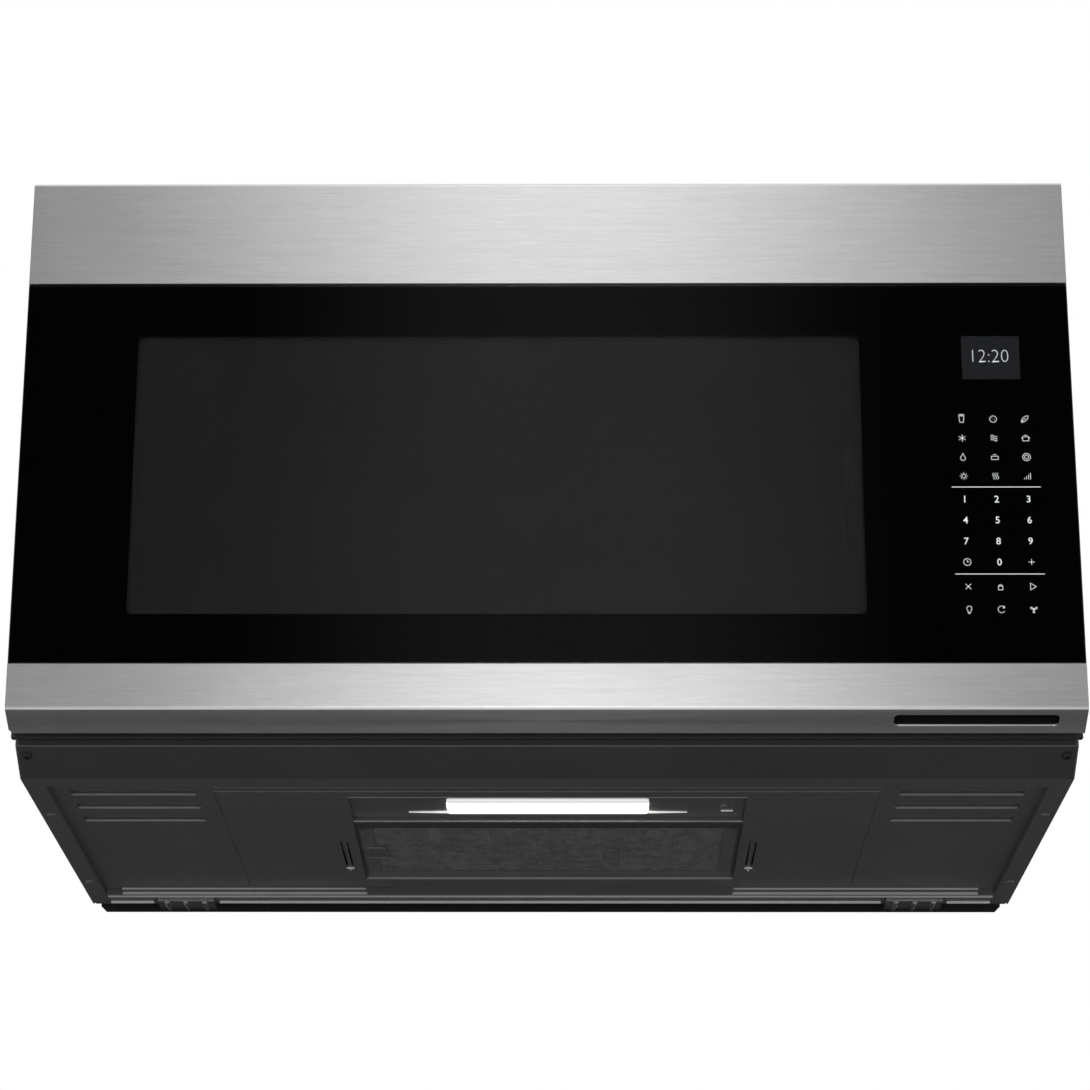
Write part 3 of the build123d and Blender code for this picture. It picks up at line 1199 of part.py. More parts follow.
def filter_rails():
    """Channels over both ends of the filter, which keep it from lifting."""
    web = FILTER_END + FILTER_TRAVEL + RAIL_SPACE
    top = filter_level() + FILTER_THICK + RAIL_OVER
    line = [(FILTER_HALF, top), (web, top), (web, PAN_TOP), (web + RAIL_FOOT, PAN_TOP)]
    rail = folded("Y", line, SHEET, (FILTER_FRONT + RAIL_IN, FILTER_BACK - RAIL_IN))
    return [rail, mirrored(rail)]


def filter_spring():
    """Leaf spring on the right rail, drawn pressed flat, as when the filter is pushed right across."""
    root = FILTER_END + FILTER_TRAVEL + RAIL_SPACE
    tip = FILTER_END + FILTER_TRAVEL + RUNNING_GAP
    low_end, high_end = FILTER_CENTRE - LEAF_HALF, FILTER_CENTRE + LEAF_HALF
    outer = ThreePointArc((root, low_end), (tip, FILTER_CENTRE), (root, high_end))
    sheet = LEAF_SHEET
    run = LEAF_HALF * 0.1
    inner = ThreePointArc((root, high_end - run), (tip + sheet, FILTER_CENTRE), (root, low_end + run))
    face = make_face([outer, Line((root, high_end), (root, high_end - run)), inner,
                      Line((root, low_end + run), (root, low_end))])
    level = filter_level() + 1
    return along("Z", face, (0, 0), (level, level + LEAF_HEIGHT))


def corner_caps():
    """Small plastic caps on the lower front corners of the cabinet."""
    cap = plate("Z", (BODY_HALF, BODY_HALF + CAP_WIDTH), (FRAME_FRONT, FRAME_FRONT + CAP_DEPTH),
                (FRAME_BOTTOM + CAP_UP, FRAME_BOTTOM + CAP_UP + CAP_HEIGHT))
    cap = fillet(cap.edges().filter_by(Axis.Z).group_by(Axis.X)[-1], CAP_CORNER)
    return [cap, mirrored(cap)]


def base_screw_places():
    """Place and outward way of each screw: two in the slope, two beside the filter, four in the rims."""
    slope = math.hypot(SLOPE_RUN, SLOPE_TOP)
    out = (0, -SLOPE_TOP / slope, -SLOPE_RUN / slope)
    share = SLOPE_SCREW_SHARE
    down = (0, 0, -1)
    slot_x, slot_y = spring_slot_place()
    places = []
    for side in (-1, 1):
        places.append(((side * SLOPE_SCREW_X, FRAME_BACK + SLOPE_RUN * share, SLOPE_TOP * (1 - share)), out))
        places.append(((side * slot_x, slot_y + SLOT_LENGTH / 2 + SLOT_SCREW_BACK, FLOOR_UP), down))
        for y in RIM_SCREW_Y:
            places.append(((side * (INSIDE_HALF - RIM_SIDE / 2), y, 0), down))
    return places


def base_screws():
    return [screw(place, way, FRAME_SHEET) for place, way in base_screw_places()]


# ---------------------------------------------------------------- turntable
def track_level():
    return CAVITY_FLOOR - TRACK_DEPTH


def roller_axis_height():
    return track_level() + RUNNING_GAP + ROLLER_RADIUS


def tray_level():
    """Underside of the glass tray, just over the rollers."""
    return roller_axis_height() + ROLLER_RADIUS + RUNNING_GAP


def turntable_tray():
    """Glass plate with a raised rim."""
    low, radius, step = tray_level(), TRAY_RADIUS, TRAY_STEP
    flat = radius * 0.9
    profile = Polyline((0, low), (flat, low), (radius - step, low + step), (radius, low + TRAY_RIM),
                       (radius - step, low + TRAY_RIM), (radius - 2 * step, low + TRAY_THICK + 2),
                       (flat - step, low + TRAY_THICK), (0, low + TRAY_THICK), close=True)
    return Pos(TURN_X, TURN_Y, 0) * revolve(Plane.XZ * make_face(profile), Axis.Z)


def drive_coupler():
    """Three-lobed hub under the tray, with the stem that the motor turns."""
    centre = (TURN_X, TURN_Y)
    low, high = CAVITY_FLOOR + RUNNING_GAP, tray_level()
    hub = rod("Z", COUPLER_RADIUS * 0.6, centre, (low, high))
    half = LOBE_HALF
    for step in range(3):
        arm = plate("Z", (0, COUPLER_RADIUS), (-half, half), (low + half, high), half - 0.1)
        hub += Pos(TURN_X, TURN_Y, 0) * Rot(0, 0, 120 * step + 30) * arm
    return hub + rod("Z", STEM_RADIUS, centre, (CAVITY_FLOOR - SHEET - STEM_DEPTH, low))


def turntable_motor():
    """Flat synchronous motor under the cavity, with its two mounting ears."""
    high = CAVITY_FLOOR - SHEET
    centre = (TURN_X, TURN_Y)
    motor = rod("Z", MOTOR_RADIUS, centre, (high - MOTOR_HEIGHT, high))
    reach = MOTOR_RADIUS + MOTOR_EAR
    motor += plate("Z", (TURN_X - reach, TURN_X + reach), (TURN_Y - 6, TURN_Y + 6), (high - SHEET, high), 5)
    motor = chamfer(motor.faces().sort_by(Axis.Z)[0].edges(), 2)
    return motor - rod("Z", STEM_RADIUS + SHAFT_GAP, centre, (high - STEM_DEPTH - 0.5, high))


def roller_ring():
    """Ring with three stub axles that point outwards, each ending in a head that keeps its roller."""
    height = roller_axis_height()
    outer = ROLLER_CIRCLE - ROLLER_WIDTH / 2 - 1
    tall = (height - RING_HEIGHT / 2, height + RING_HEIGHT / 2)
    hoop = ring("Z", outer, outer - RING_WIDTH, (TURN_X, TURN_Y), tall)
    start = outer - 2
    end = ROLLER_CIRCLE + ROLLER_WIDTH / 2 + RUNNING_GAP
    for step in range(3):
        axle = rod("X", AXLE_RADIUS, (0, height), (start, end + 2))
        axle += rod("X", AXLE_RADIUS + 1.5, (0, height), (end, end + 1.8))
        hoop += Pos(TURN_X, TURN_Y, 0) * Rot(0, 0, 120 * step + 90) * axle
    return hoop


def roller(step):
    height = roller_axis_height()
    width = (ROLLER_CIRCLE - ROLLER_WIDTH / 2, ROLLER_CIRCLE + ROLLER_WIDTH / 2)
    wheel = rod("X", ROLLER_RADIUS, (0, height), width)
    wheel = chamfer(wheel.edges().filter_by(GeomType.CIRCLE), 1)
    wheel -= rod("X", AXLE_RADIUS + SHAFT_GAP, (0, height), width)
    return Pos(TURN_X, TURN_Y, 0) * Rot(0, 0, 120 * step + 90) * wheel


# ---------------------------------------------------------------- vent
def vent_limits():
    return (CAVITY_LEFT + VENT_INSET, CAVITY_RIGHT - VENT_INSET), (VENT_LOW, VENT_LOW + VENT_HEIGHT)


def vent_grille():
    """Moulded louvre: slanted slats between a rim and upright bars."""
    (left, right), (low, high) = vent_limits()
    front, back = FRAME_FRONT, FRAME_FRONT + GRILLE_DEPTH
    wall = GRILLE_WALL
    grille = plate("Y", (left, right), (low, high), (front, back), 4)
    grille -= plate("Y", (left + wall, right - wall), (low + wall, high - wall), (front, back), 2)
    pitch = (VENT_HEIGHT - 2 * wall) / GRILLE_SLATS
    rise = pitch * 0.9
    for row in range(GRILLE_SLATS):
        base = low + wall + row * pitch
        slat = [(front, base + rise), (front, base + rise - SLAT_THICK), (back, base - 0.2),
                (back, base - 0.2 + SLAT_THICK)]
        grille += prism("X", slat, (left + 1, right - 1))
    for bar in range(1, GRILLE_BARS + 1):
        x = left + (right - left) * bar / (GRILLE_BARS + 1)
        grille += plate("Y", (x - GRILLE_BAR / 2, x + GRILLE_BAR / 2), (low + 1, high - 1), (front, back))
    return grille


def charcoal_filter():
    """Cassette behind the grille: a rim round a slab of carbon."""
    middle = sum(vent_limits()[0]) / 2
    half, rim, lip = CHARCOAL_WIDTH / 2, CHARCOAL_RIM, CHARCOAL_LIP
    front = FRAME_FRONT + GRILLE_DEPTH
    back = front + CHARCOAL_DEPTH
    cassette = plate("Y", (middle - half, middle + half), (ROOF, ROOF + CHARCOAL_HEIGHT), (front, back), 3)
    for recess in ((front - 1, front + lip), (back - lip, back + 1)):
        cassette -= plate("Y", (middle - half + rim, middle + half - rim),
                          (ROOF + rim, ROOF + CHARCOAL_HEIGHT - rim), recess, 3)
    return cassette


def scroll_radius(turn):
    """Scroll radius, growing evenly from the cut-off over 270 degrees."""
    return SCROLL_START + SCROLL_GROWTH * turn / 270


def blower_height():
    return ROOF + BLOWER_FOOT + scroll_radius(90)


def scroll_face(shrink, outlet_extra):
    """Scroll outline in Y and Z: it starts at the front, runs under the wheel, and leaves at the top."""
    def place(turn):
        angle = math.radians(turn)
        radius = scroll_radius(turn) - shrink
        return BLOWER_Y - radius * math.cos(angle), blower_height() - radius * math.sin(angle)
    spiral = Spline(*[place(turn) for turn in range(0, 271, 45)])
    start, end = place(0), place(270)
    mouth = BLOWER_Y - SCROLL_OUTLET - outlet_extra
    floor = start[1] + 4 + shrink
    rest = Polyline(end, (mouth, end[1]), (mouth, floor), (start[0] - 2, floor), start)
    return make_face([spiral, rest])


def housing_span():
    """Inner faces of the right-hand blower housing."""
    near = VENT_MOTOR_WIDTH / 2 + VENT_MOTOR_SPACE + HOUSING_WALL
    return near, near + WHEEL_WIDTH + 2 * HOUSING_GAP


def blower_housing():
    """Scroll casing round one wheel, with an air inlet in each side wall and a foot on the cavity."""
    near, far = housing_span()
    case = along("X", scroll_face(0, 0), (0, 0), (near - HOUSING_WALL, far + HOUSING_WALL))
    case -= along("X", scroll_face(HOUSING_WALL, 5), (0, 0), (near, far))
    foot = (near - HOUSING_WALL, far + HOUSING_WALL)
    case += plate("Z", foot, (BLOWER_Y - FOOT_HALF, BLOWER_Y + FOOT_HALF), (ROOF, ROOF + BLOWER_FOOT + 1.2))
    return case - rod("X", WHEEL_RADIUS - BLADE_DEPTH, (BLOWER_Y, blower_height()), (near - 5, far + 5))


def blower_housings():
    return [blower_housing(), mirrored(blower_housing())]


def blade_face():
    """One forward-curved blade, seen along the shaft, between the wheel's inner and outer radius."""
    inner, outer = WHEEL_RADIUS - BLADE_DEPTH, WHEEL_RADIUS - 0.2
    middle = (inner + outer) / 2

    def at(radius, degrees):
        return radius * math.cos(math.radians(degrees)), radius * math.sin(math.radians(degrees))
    sheet = math.degrees(BLADE_SHEET / middle)
    concave = ThreePointArc(at(inner, 0), at(middle, 1.5), at(outer, 8))
    convex = ThreePointArc(at(outer, 8 + sheet), at(middle, 1.5 + sheet), at(inner, sheet))
    return make_face([concave, Line(concave @ 1, convex @ 0), convex, Line(convex @ 1, concave @ 0)])


def blower_wheel():
    """Squirrel-cage wheel with two open ends and a hub disc in its middle."""
    near, _ = housing_span()
    start = near + HOUSING_GAP
    end = start + WHEEL_WIDTH
    middle, half = (start + end) / 2, WHEEL_HUB_LONG / 2
    wheel = rod("X", WHEEL_RADIUS - 0.5, (0, 0), (middle - 1, middle + 1))
    wheel += rod("X", WHEEL_HUB, (0, 0), (middle - half, middle + half))
    for edge in (start, end - WHEEL_RING_LONG):
        wheel += ring("X", WHEEL_RADIUS, WHEEL_RADIUS - WHEEL_RING, (0, 0), (edge, edge + WHEEL_RING_LONG))
    blade = along("X", blade_face(), (0, 0), (start + 1, end - 1))
    wheel += [Rot(360 * step / BLADE_COUNT, 0, 0) * blade for step in range(BLADE_COUNT)]
    wheel -= rod("X", VENT_SHAFT, (0, 0), (start, end))
    return Pos(0, BLOWER_Y, blower_height()) * wheel


def blower_wheels():
    """Both wheels, and the shaft that carries them through the motor."""
    reach = housing_span()[1] - HOUSING_GAP
    shaft = rod("X", VENT_SHAFT, (BLOWER_Y, blower_height()), (-reach, reach))
    return [blower_wheel(), mirrored(blower_wheel()), shaft]


def vent_motor():
    """Motor between the two housings: stator stack, end bells and a saddle on the cavity's roof."""
    half = VENT_MOTOR_WIDTH / 2
    stack = half * 0.45
    axis = blower_height()
    centre = (BLOWER_Y, axis)
    motor = rod("X", VENT_MOTOR_RADIUS - VENT_BELL, centre, (-half + VENT_BELL_IN, half - VENT_BELL_IN))
    motor = motor + rod("X", VENT_MOTOR_RADIUS, centre, (-stack, stack))
    motor += rod("X", VENT_BEARING, centre, (-half, half))
    motor += plate("X", (BLOWER_Y - SADDLE_HALF, BLOWER_Y + SADDLE_HALF), (ROOF, axis - SADDLE_HALF),
                   (-half * 0.3, half * 0.3))
    foot = (BLOWER_Y - SADDLE_FOOT, BLOWER_Y + SADDLE_FOOT)
    motor += plate("Z", (-stack, stack), foot, (ROOF, ROOF + 2), 3)
    return motor - rod("X", VENT_SHAFT + SHAFT_GAP, centre, (-half, half))


# ---------------------------------------------------------------- component bay
def waveguide():
    """Folded duct that carries the waves from the magnetron to the cavity's port."""
    deep = (BAY_LEFT, BAY_LEFT + GUIDE_DEEP)
    run = (GUIDE_BACK - GUIDE_LONG, GUIDE_BACK)
    tall = (GUIDE_LOW, GUIDE_LOW + GUIDE_HIGH)
    wall = GUIDE_WALL
    guide = plate("X", run, tall, deep, 3)
    guide -= plate("X", (run[0] + wall, run[1] - wall), (tall[0] + wall, tall[1] - wall),
                   (deep[0] - 1, deep[1] - wall), 2)
    return guide - rod("X", ANTENNA_RADIUS + 2, magnetron_centre(), (deep[1] - wall - 1, deep[1] + 1))


def magnetron_centre():
    return GUIDE_BACK - MAGNETRON_SIDE / 2 - 2, GUIDE_LOW + GUIDE_HIGH / 2


def waveguide_cover():
    """Sheet of mica in front of the waveguide's port."""
    lap = PORT_BORDER - 2
    front = GUIDE_BACK - GUIDE_LONG + PORT_BORDER - lap
    return plate("X", (front, front + PORT_LONG + 2 * lap),
                 (GUIDE_LOW + PORT_BORDER - lap, GUIDE_LOW + GUIDE_HIGH - PORT_BORDER + lap),
                 (CAVITY_RIGHT - MICA_SHEET, CAVITY_RIGHT), 4)


def magnetron():
    """Antenna, yoke, magnets, anode with its cooling fins, and the filter box at the far end."""
    y, z = magnetron_centre()
    face = BAY_LEFT + GUIDE_DEEP
    far = face + MAGNETRON_LONG
    half, sheet = MAGNETRON_SIDE / 2, YOKE_SHEET
    tube = rod("X", ANTENNA_RADIUS, (y, z), (face - ANTENNA_LONG, face))
    for start in (face, far - sheet):
        tube += plate("X", (y - half, y + half), (z - half, z + half), (start, start + sheet), 3)
    for side in (-1, 1):
        wall = sorted((z + side * half, z + side * (half - sheet)))
        tube += plate("X", (y - half, y + half), wall, (face, far))
    tube += rod("X", ANODE_RADIUS, (y, z), (face, far))
    for start in (face + sheet, far - sheet - MAGNET_HIGH):
        tube += rod("X", MAGNET_RADIUS, (y, z), (start, start + MAGNET_HIGH))
    room = MAGNETRON_LONG - 2 * (sheet + MAGNET_HIGH)
    for fin in range(FIN_COUNT):
        x = face + sheet + MAGNET_HIGH + room * (fin + 0.5) / FIN_COUNT
        tube += plate("X", (y - half + sheet, y + half - sheet), (z - half + 1, z + half - 1),
                      (x - FIN_SHEET / 2, x + FIN_SHEET / 2))
    box, high = FILTER_BOX_HALF, FILTER_BOX_LOW
    return tube + plate("X", (y - box, y + box), (z - high, z + high), (far, far + FILTER_BOX_LONG), 3)


def transformer():
    """Laminated core round two windings, on feet bolted to the pan."""
    left = BAY_LEFT + TRANSFORMER_IN
    right = left + CORE_WIDTH
    front, back = TRANSFORMER_FRONT, TRANSFORMER_FRONT + WINDING_DEPTH
    foot, inset, reach = PAN_TOP + CORE_FOOT, CORE_SET_IN, CORE_FOOT_REACH
    core = plate("Y", (left, right), (foot, foot + CORE_HEIGHT), (front + inset, back - inset))
    deep = (front + inset + 4, back - inset - 4)
    core += plate("Z", (left - reach, right + reach), deep, (PAN_TOP, foot), 2)
    first = foot + CORE_HEIGHT / 2 - WINDING_HEIGHT - WINDING_SPACE / 2
    for start in (first, first + WINDING_HEIGHT + WINDING_SPACE):
        core += plate("Z", (left + inset, right - inset), (front, back), (start, start + WINDING_HEIGHT),
                      WINDING_CORNER)
    return core


def capacitor_and_diode():
    """Oval can with two terminals, held by a strap, and the diode that lies across its top."""
    x, y, low = BAY_LEFT + CAPACITOR_IN, CAPACITOR_Y, PAN_TOP
    long, deep, top = CAPACITOR_LONG / 2, CAPACITOR_DEEP / 2, PAN_TOP + CAPACITOR_HIGH
    can = plate("Z", (x - long, x + long), (y - deep, y + deep), (low, top), deep - 0.1)
    strap, sheet = (low + CAPACITOR_HIGH * 0.4, low + CAPACITOR_HIGH * 0.52), STRAP_SHEET
    can += plate("Z", (x - long - sheet, x + long + sheet), (y - deep - sheet, y + deep + sheet), strap,
                 deep + sheet - 0.1)
    for side in (-1, 1):
        middle = x + side * long * 0.45
        can += plate("Z", (middle - TERMINAL_WIDTH / 2, middle + TERMINAL_WIDTH / 2), (y - 0.5, y + 0.5),
                     (top, top + TERMINAL_HIGH))
    diode = rod("X", DIODE_RADIUS, (y + deep / 2, top + DIODE_RADIUS), (x - DIODE_HALF, x + DIODE_HALF))
    return [can, diode]


def mains_filter_board():
    """Board on the duct wall with its choke, capacitor and relay."""
    face = CAVITY_RIGHT + MAINS_OFF
    front, low = FRAME_BACK + MAINS_BACK, ROOF + MAINS_UP
    back, high = front + MAINS_LONG, low + MAINS_HIGH
    board = plate("X", (front, back), (low, high), (face, face + BOARD_THICK))
    for y in (front + STANDOFF_IN, back - STANDOFF_IN):
        for z in (low + STANDOFF_IN, high - STANDOFF_IN):
            board += rod("X", STANDOFF_RADIUS, (y, z), (CAVITY_RIGHT, face))
    top = face + BOARD_THICK
    part_low = low + MAINS_PART_LOW
    coil = (front + COIL_RADIUS + MAINS_PART_LOW, part_low + COIL_RADIUS + STANDOFF_IN)
    board += ring("X", COIL_RADIUS, COIL_BORE, coil, (top, top + COIL_RADIUS))
    for start, long, tall in ((MAINS_CAP_IN, MAINS_CAP_LONG, MAINS_CAP_HIGH),
                              (MAINS_RELAY_IN, MAINS_RELAY_LONG, MAINS_RELAY_HIGH)):
        across = (front + start, front + start + long)
        board += plate("X", across, (part_low, part_low + tall), (top, top + long))
    return board


def cavity_lamp():
    """Socket on the cavity's right wall with a small round bulb that faces the holes."""
    y, z = lamp_places()
    rim = BAY_LEFT + SOCKET_LONG
    lamp = ring("X", SOCKET_RADIUS, SOCKET_RADIUS - SOCKET_WALL, (y, z), (BAY_LEFT, rim))
    lamp += rod("X", SOCKET_RADIUS, (y, z), (rim, rim + SOCKET_END))
    bulb = Pos(BAY_LEFT + BULB_IN, y, z) * Sphere(BULB_RADIUS)
    return lamp + bulb + rod("X", BULB_BASE, (y, z), (BAY_LEFT + BULB_IN, rim + 2))


def heat_and_steam_sensors():
    """A cut-out on the cavity's roof, one on the magnetron, and the steam sensor on the left wall."""
    x, y = TURN_X + CUTOUT_RIGHT, FRAME_BACK + CUTOUT_BACK
    ear = CUTOUT_EAR
    first = rod("Z", CUTOUT_RADIUS, (x, y), (ROOF, ROOF + CUTOUT_HIGH))
    first += plate("Z", (x - ear, x + ear), (y - ear / 2, y + ear / 2), (ROOF, ROOF + 1), ear / 3)
    y, z = magnetron_centre()
    top = z + MAGNETRON_SIDE / 2
    x = BAY_LEFT + GUIDE_DEEP + MAGNETRON_LONG / 2
    second = rod("Z", CUTOUT_RADIUS, (x, y), (top, top + CUTOUT_HIGH))
    y, z = CAVITY_REAR - STEAM_FORWARD, CAVITY_TOP - STEAM_DOWN
    face = CAVITY_LEFT - SHEET
    third = rod("X", STEAM_RADIUS, (y, z), (face - STEAM_DEEP, face))
    third += plate("X", (y - STEAM_EAR, y + STEAM_EAR), (z - STEAM_EAR_HALF, z + STEAM_EAR_HALF),
                   (face - FRAME_SHEET, face), 3)
    return [first, second, third]


def fan_shroud():
    """Plate across the component bay with a collar round the fan."""
    inner = FAN_RADIUS + FAN_TIP_GAP
    half, rim = SHROUD_HALF, FAN_Y + SHROUD_COLLAR
    shroud = plate("Y", (BAY_LEFT, INSIDE_HALF), (FAN_Z - half, FAN_Z + half), (FAN_Y, FAN_Y + SHEET), 2)
    shroud += rod("Y", inner + SHEET, (FAN_X, FAN_Z), (FAN_Y, rim))
    return shroud - rod("Y", inner, (FAN_X, FAN_Z), (FAN_Y - 1, rim + 1))


def fan_motor():
    """Shaded-pole motor on a strap across the back of the shroud."""
    strap = FAN_Y + FAN_MOTOR_BACK
    back = strap + FAN_MOTOR_LONG
    reach = FAN_RADIUS + FAN_TIP_GAP + FAN_STRAP_REACH
    tall = (FAN_Z - FAN_STRAP_HALF, FAN_Z + FAN_STRAP_HALF)
    motor = rod("Y", FAN_MOTOR_RADIUS, (FAN_X, FAN_Z), (strap, back))
    motor += plate("Y", (FAN_X - reach, FAN_X + reach), tall, (strap, strap + FAN_STRAP), 2)
    for side in (-1, 1):
        leg = sorted((FAN_X + side * reach, FAN_X + side * (reach - FAN_STRAP)))
        motor += plate("Y", leg, tall, (FAN_Y + SHEET, strap + FAN_STRAP))
    return motor - rod("Y", FAN_SHAFT + SHAFT_GAP, (FAN_X, FAN_Z), (strap - 1, back - 4))


def cooling_fan():
    """Axial fan: five blades, each twisted from root to tip, on a hub with its own shaft."""
    start = FAN_Y + FAN_SET_BACK
    end = start + FAN_WIDTH
    fan = rod("Y", FAN_HUB, (0, 0), (start, end))
    fan = chamfer(fan.faces().sort_by(Axis.Y)[0].edges(), 3)
    middle = (start + end) / 2
    root_width, tip_width = FAN_WIDTH * 1.2, FAN_WIDTH * 1.9
    blades = []
    for step in range(FAN_BLADES):
        root = Plane(origin=(FAN_HUB - 2, middle, 0), x_dir=(0, 0.70, 0.72), z_dir=(1, 0, 0))
        tip = Plane(origin=(FAN_RADIUS, middle, 0), x_dir=(0, 0.40, 0.92), z_dir=(1, 0, 0))
        blade = loft([root * Rectangle(root_width, FAN_SHEET * 1.3), tip * Rectangle(tip_width, FAN_SHEET)])
        blades.append(Rot(0, 360 * step / FAN_BLADES, 0) * blade)
    fan += blades
    fan += rod("Y", FAN_SHAFT, (0, 0), (end, end + FAN_SHAFT_LONG))
    return Pos(FAN_X, 0, FAN_Z) * fan


def interlock_bracket():
    """Moulded latch board behind the front frame: the hooks enter it, and it carries the switches."""
    sheet = LATCH_BOARD
    left, right = BAR_LEFT - LATCH_BOARD_LEFT, BAR_RIGHT + LATCH_BOARD_RIGHT
    low, high = HOOK_LOW - LATCH_BOARD_BELOW, HOOK_LOW + HOOK_SPACING + LATCH_BOARD_OVER
    tip = DOOR_BACK + HOOK_REACH
    board = plate("Y", (left, right), (low, high), (FRAME_BACK, FRAME_BACK + sheet), 2)
    for start in (BAR_LEFT - 5, BAR_RIGHT + 3):
        board += plate("Y", (start, start + sheet), (low, high), (FRAME_BACK + sheet, tip + LATCH_WALLS))
    for hook in (HOOK_LOW, HOOK_LOW + HOOK_SPACING):
        board -= hook_slot(hook, (FRAME_BACK - 1, FRAME_BACK + sheet + 1))
        shelf = hook - HOOK_BARB - RUNNING_GAP
        board += plate("Y", (BAR_LEFT - 5, BAR_RIGHT + 5), (shelf - sheet, shelf), (tip - SHELF_LONG, tip))
    return board


def interlock_switches():
    """Three snap switches beside the hooks, each with its plunger."""
    face = BAR_RIGHT + 3 + LATCH_BOARD
    front = FRAME_BACK + SWITCH_BACK
    upper = HOOK_LOW + HOOK_SPACING
    switches = []
    for low in (HOOK_LOW - SWITCH_HIGH / 2, upper - SWITCH_HIGH - 4, upper + 6):
        thick = (face, face + SWITCH_THICK)
        body = plate("X", (front, front + SWITCH_LONG), (low, low + SWITCH_HIGH), thick, 1)
        up, across = low + SWITCH_HIGH / 2, face + SWITCH_THICK / 2
        half = PLUNGER_HALF
        plunger = plate("X", (front - 3, front), (up - half, up + half), (across - half, across + half))
        switches.append(body + plunger)
    return switches


# ---------------------------------------------------------------- write every piece
PIECES = [
    door_glass, top_trim, bottom_trim, handle_pocket, door_body, window_screen, choke_panel, choke_cover,
    inner_window, touch_board, control_board, hinge_pins, latch_hooks, latch_spring, hinge_brackets,
    outer_wrapper, rear_panel, front_frame, oven_cavity, duct_wall, blower_plate, cord_gland, wall_plate,
    wall_hooks, base_pan, light_cover, light_lens, lamp_housing, cooktop_lamp_board, filter_frame,
    filter_mesh, filter_rails, filter_spring, corner_caps, base_screws, turntable_tray, drive_coupler,
    turntable_motor, roller_ring, vent_grille, charcoal_filter, blower_housings, blower_wheels, vent_motor,
    waveguide, waveguide_cover, magnetron, transformer, capacitor_and_diode, mains_filter_board,
    cavity_lamp, heat_and_steam_sensors, fan_shroud, fan_motor, cooling_fan, interlock_bracket,
    interlock_switches,
]


def main():
    for piece in PIECES:
        shape = piece()
        if isinstance(shape, list):
            shape = Compound([solid for item in shape for solid in item.solids()])
        export_step(shape, f"parts/{piece.__name__}.step")
        print(piece.__name__, len(shape.solids()), round(shape.volume))
    for step in range(3):
        export_step(roller(step), f"parts/roller_{step + 1}.step")


main()
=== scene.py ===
# %% [markdown]
# # Dressing an over the range microwave oven
#
# The solid model of the oven is already made: sheet metal, glass, mouldings and motors, each piece
# with its own name and place. This lesson gives that model its looks. Most solids stay as they are
# and get a finish made of shader nodes. A few are replaced by finer meshes, such as the door's
# glass, the grease filter's mesh and the screws. At the end come the studio and the camera.

# %% Load the solid model
import math

import bmesh
import bpy
from mathutils import Matrix, Vector


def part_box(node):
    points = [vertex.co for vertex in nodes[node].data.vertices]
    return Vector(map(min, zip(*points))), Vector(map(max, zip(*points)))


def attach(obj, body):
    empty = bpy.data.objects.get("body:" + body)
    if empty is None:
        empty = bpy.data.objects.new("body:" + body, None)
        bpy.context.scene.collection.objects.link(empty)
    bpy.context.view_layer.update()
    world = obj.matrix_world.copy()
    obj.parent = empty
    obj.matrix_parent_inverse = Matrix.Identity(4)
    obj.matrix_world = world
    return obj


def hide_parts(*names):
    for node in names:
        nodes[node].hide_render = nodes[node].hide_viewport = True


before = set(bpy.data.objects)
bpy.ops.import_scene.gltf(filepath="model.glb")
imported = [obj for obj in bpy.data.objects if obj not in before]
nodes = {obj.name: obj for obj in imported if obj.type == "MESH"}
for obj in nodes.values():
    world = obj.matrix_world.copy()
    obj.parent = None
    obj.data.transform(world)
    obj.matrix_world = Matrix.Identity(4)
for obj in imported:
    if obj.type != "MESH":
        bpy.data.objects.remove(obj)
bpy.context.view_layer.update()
MM = 0.001

# %% [markdown]
# ## Patterns that several finishes share
#
# Real surfaces are never one flat colour. Brushed steel has streaks, powder coat has a fine pebble,
# zinc has spangles and enamel has specks. A photographed texture could show them, but it would need
# an unwrapped mesh and a file. Nodes need neither, so each pattern is a small group of nodes, built
# once and placed in every material that needs it. A group only hands out numbers: a tone between 0
# and 1 for the colour, and a height for the bump. All of them read the piece's own coordinates in
# metres, so that the pattern has its real size and travels with the door when it swings.
#
# Long node trees are dull to write, so a few helpers come first. Each takes either a plain number or
# another node's output, and links or sets the socket to match.

# %% Nodes in one line each
def feed(tree, socket, value):
    """Links a node's output to a socket, or sets the socket to a plain value."""
    if isinstance(value, bpy.types.NodeSocket):
        tree.links.new(value, socket)
    else:
        socket.default_value = value


def add(tree, kind, settings=None, **values):
    """Adds a node, sets its options, and feeds its sockets by name. _0 means the first socket."""
    node = tree.nodes.new("ShaderNode" + kind)
    for option, value in (settings or {}).items():
        setattr(node, option, value)
    for label, value in values.items():
        key = int(label[1:]) if label[0] == "_" else label.replace("_", " ")
        feed(tree, node.inputs[key], value)
    return node


def math_node(tree, operation, *values, clamp=False):
    node = add(tree, "Math", {"operation": operation, "use_clamp": clamp})
    for socket, value in zip(node.inputs, values):
        feed(tree, socket, value)
    return node.outputs[0]


def vector_node(tree, operation, *values):
    node = add(tree, "VectorMath", {"operation": operation})
    for socket, value in zip(node.inputs, values):
        feed(tree, socket, value)
    return node.outputs["Value" if operation == "LENGTH" else "Vector"]


def spread(tree, value, low, high, start=0.0, end=1.0, smooth=False):
    """Maps a value from one span to another, and keeps it inside."""
    node = add(tree, "MapRange", {"interpolation_type": "SMOOTHSTEP" if smooth else "LINEAR"},
               Value=value, From_Min=low, From_Max=high, To_Min=start, To_Max=end)
    return node.outputs["Result"]


print("node helpers ready")

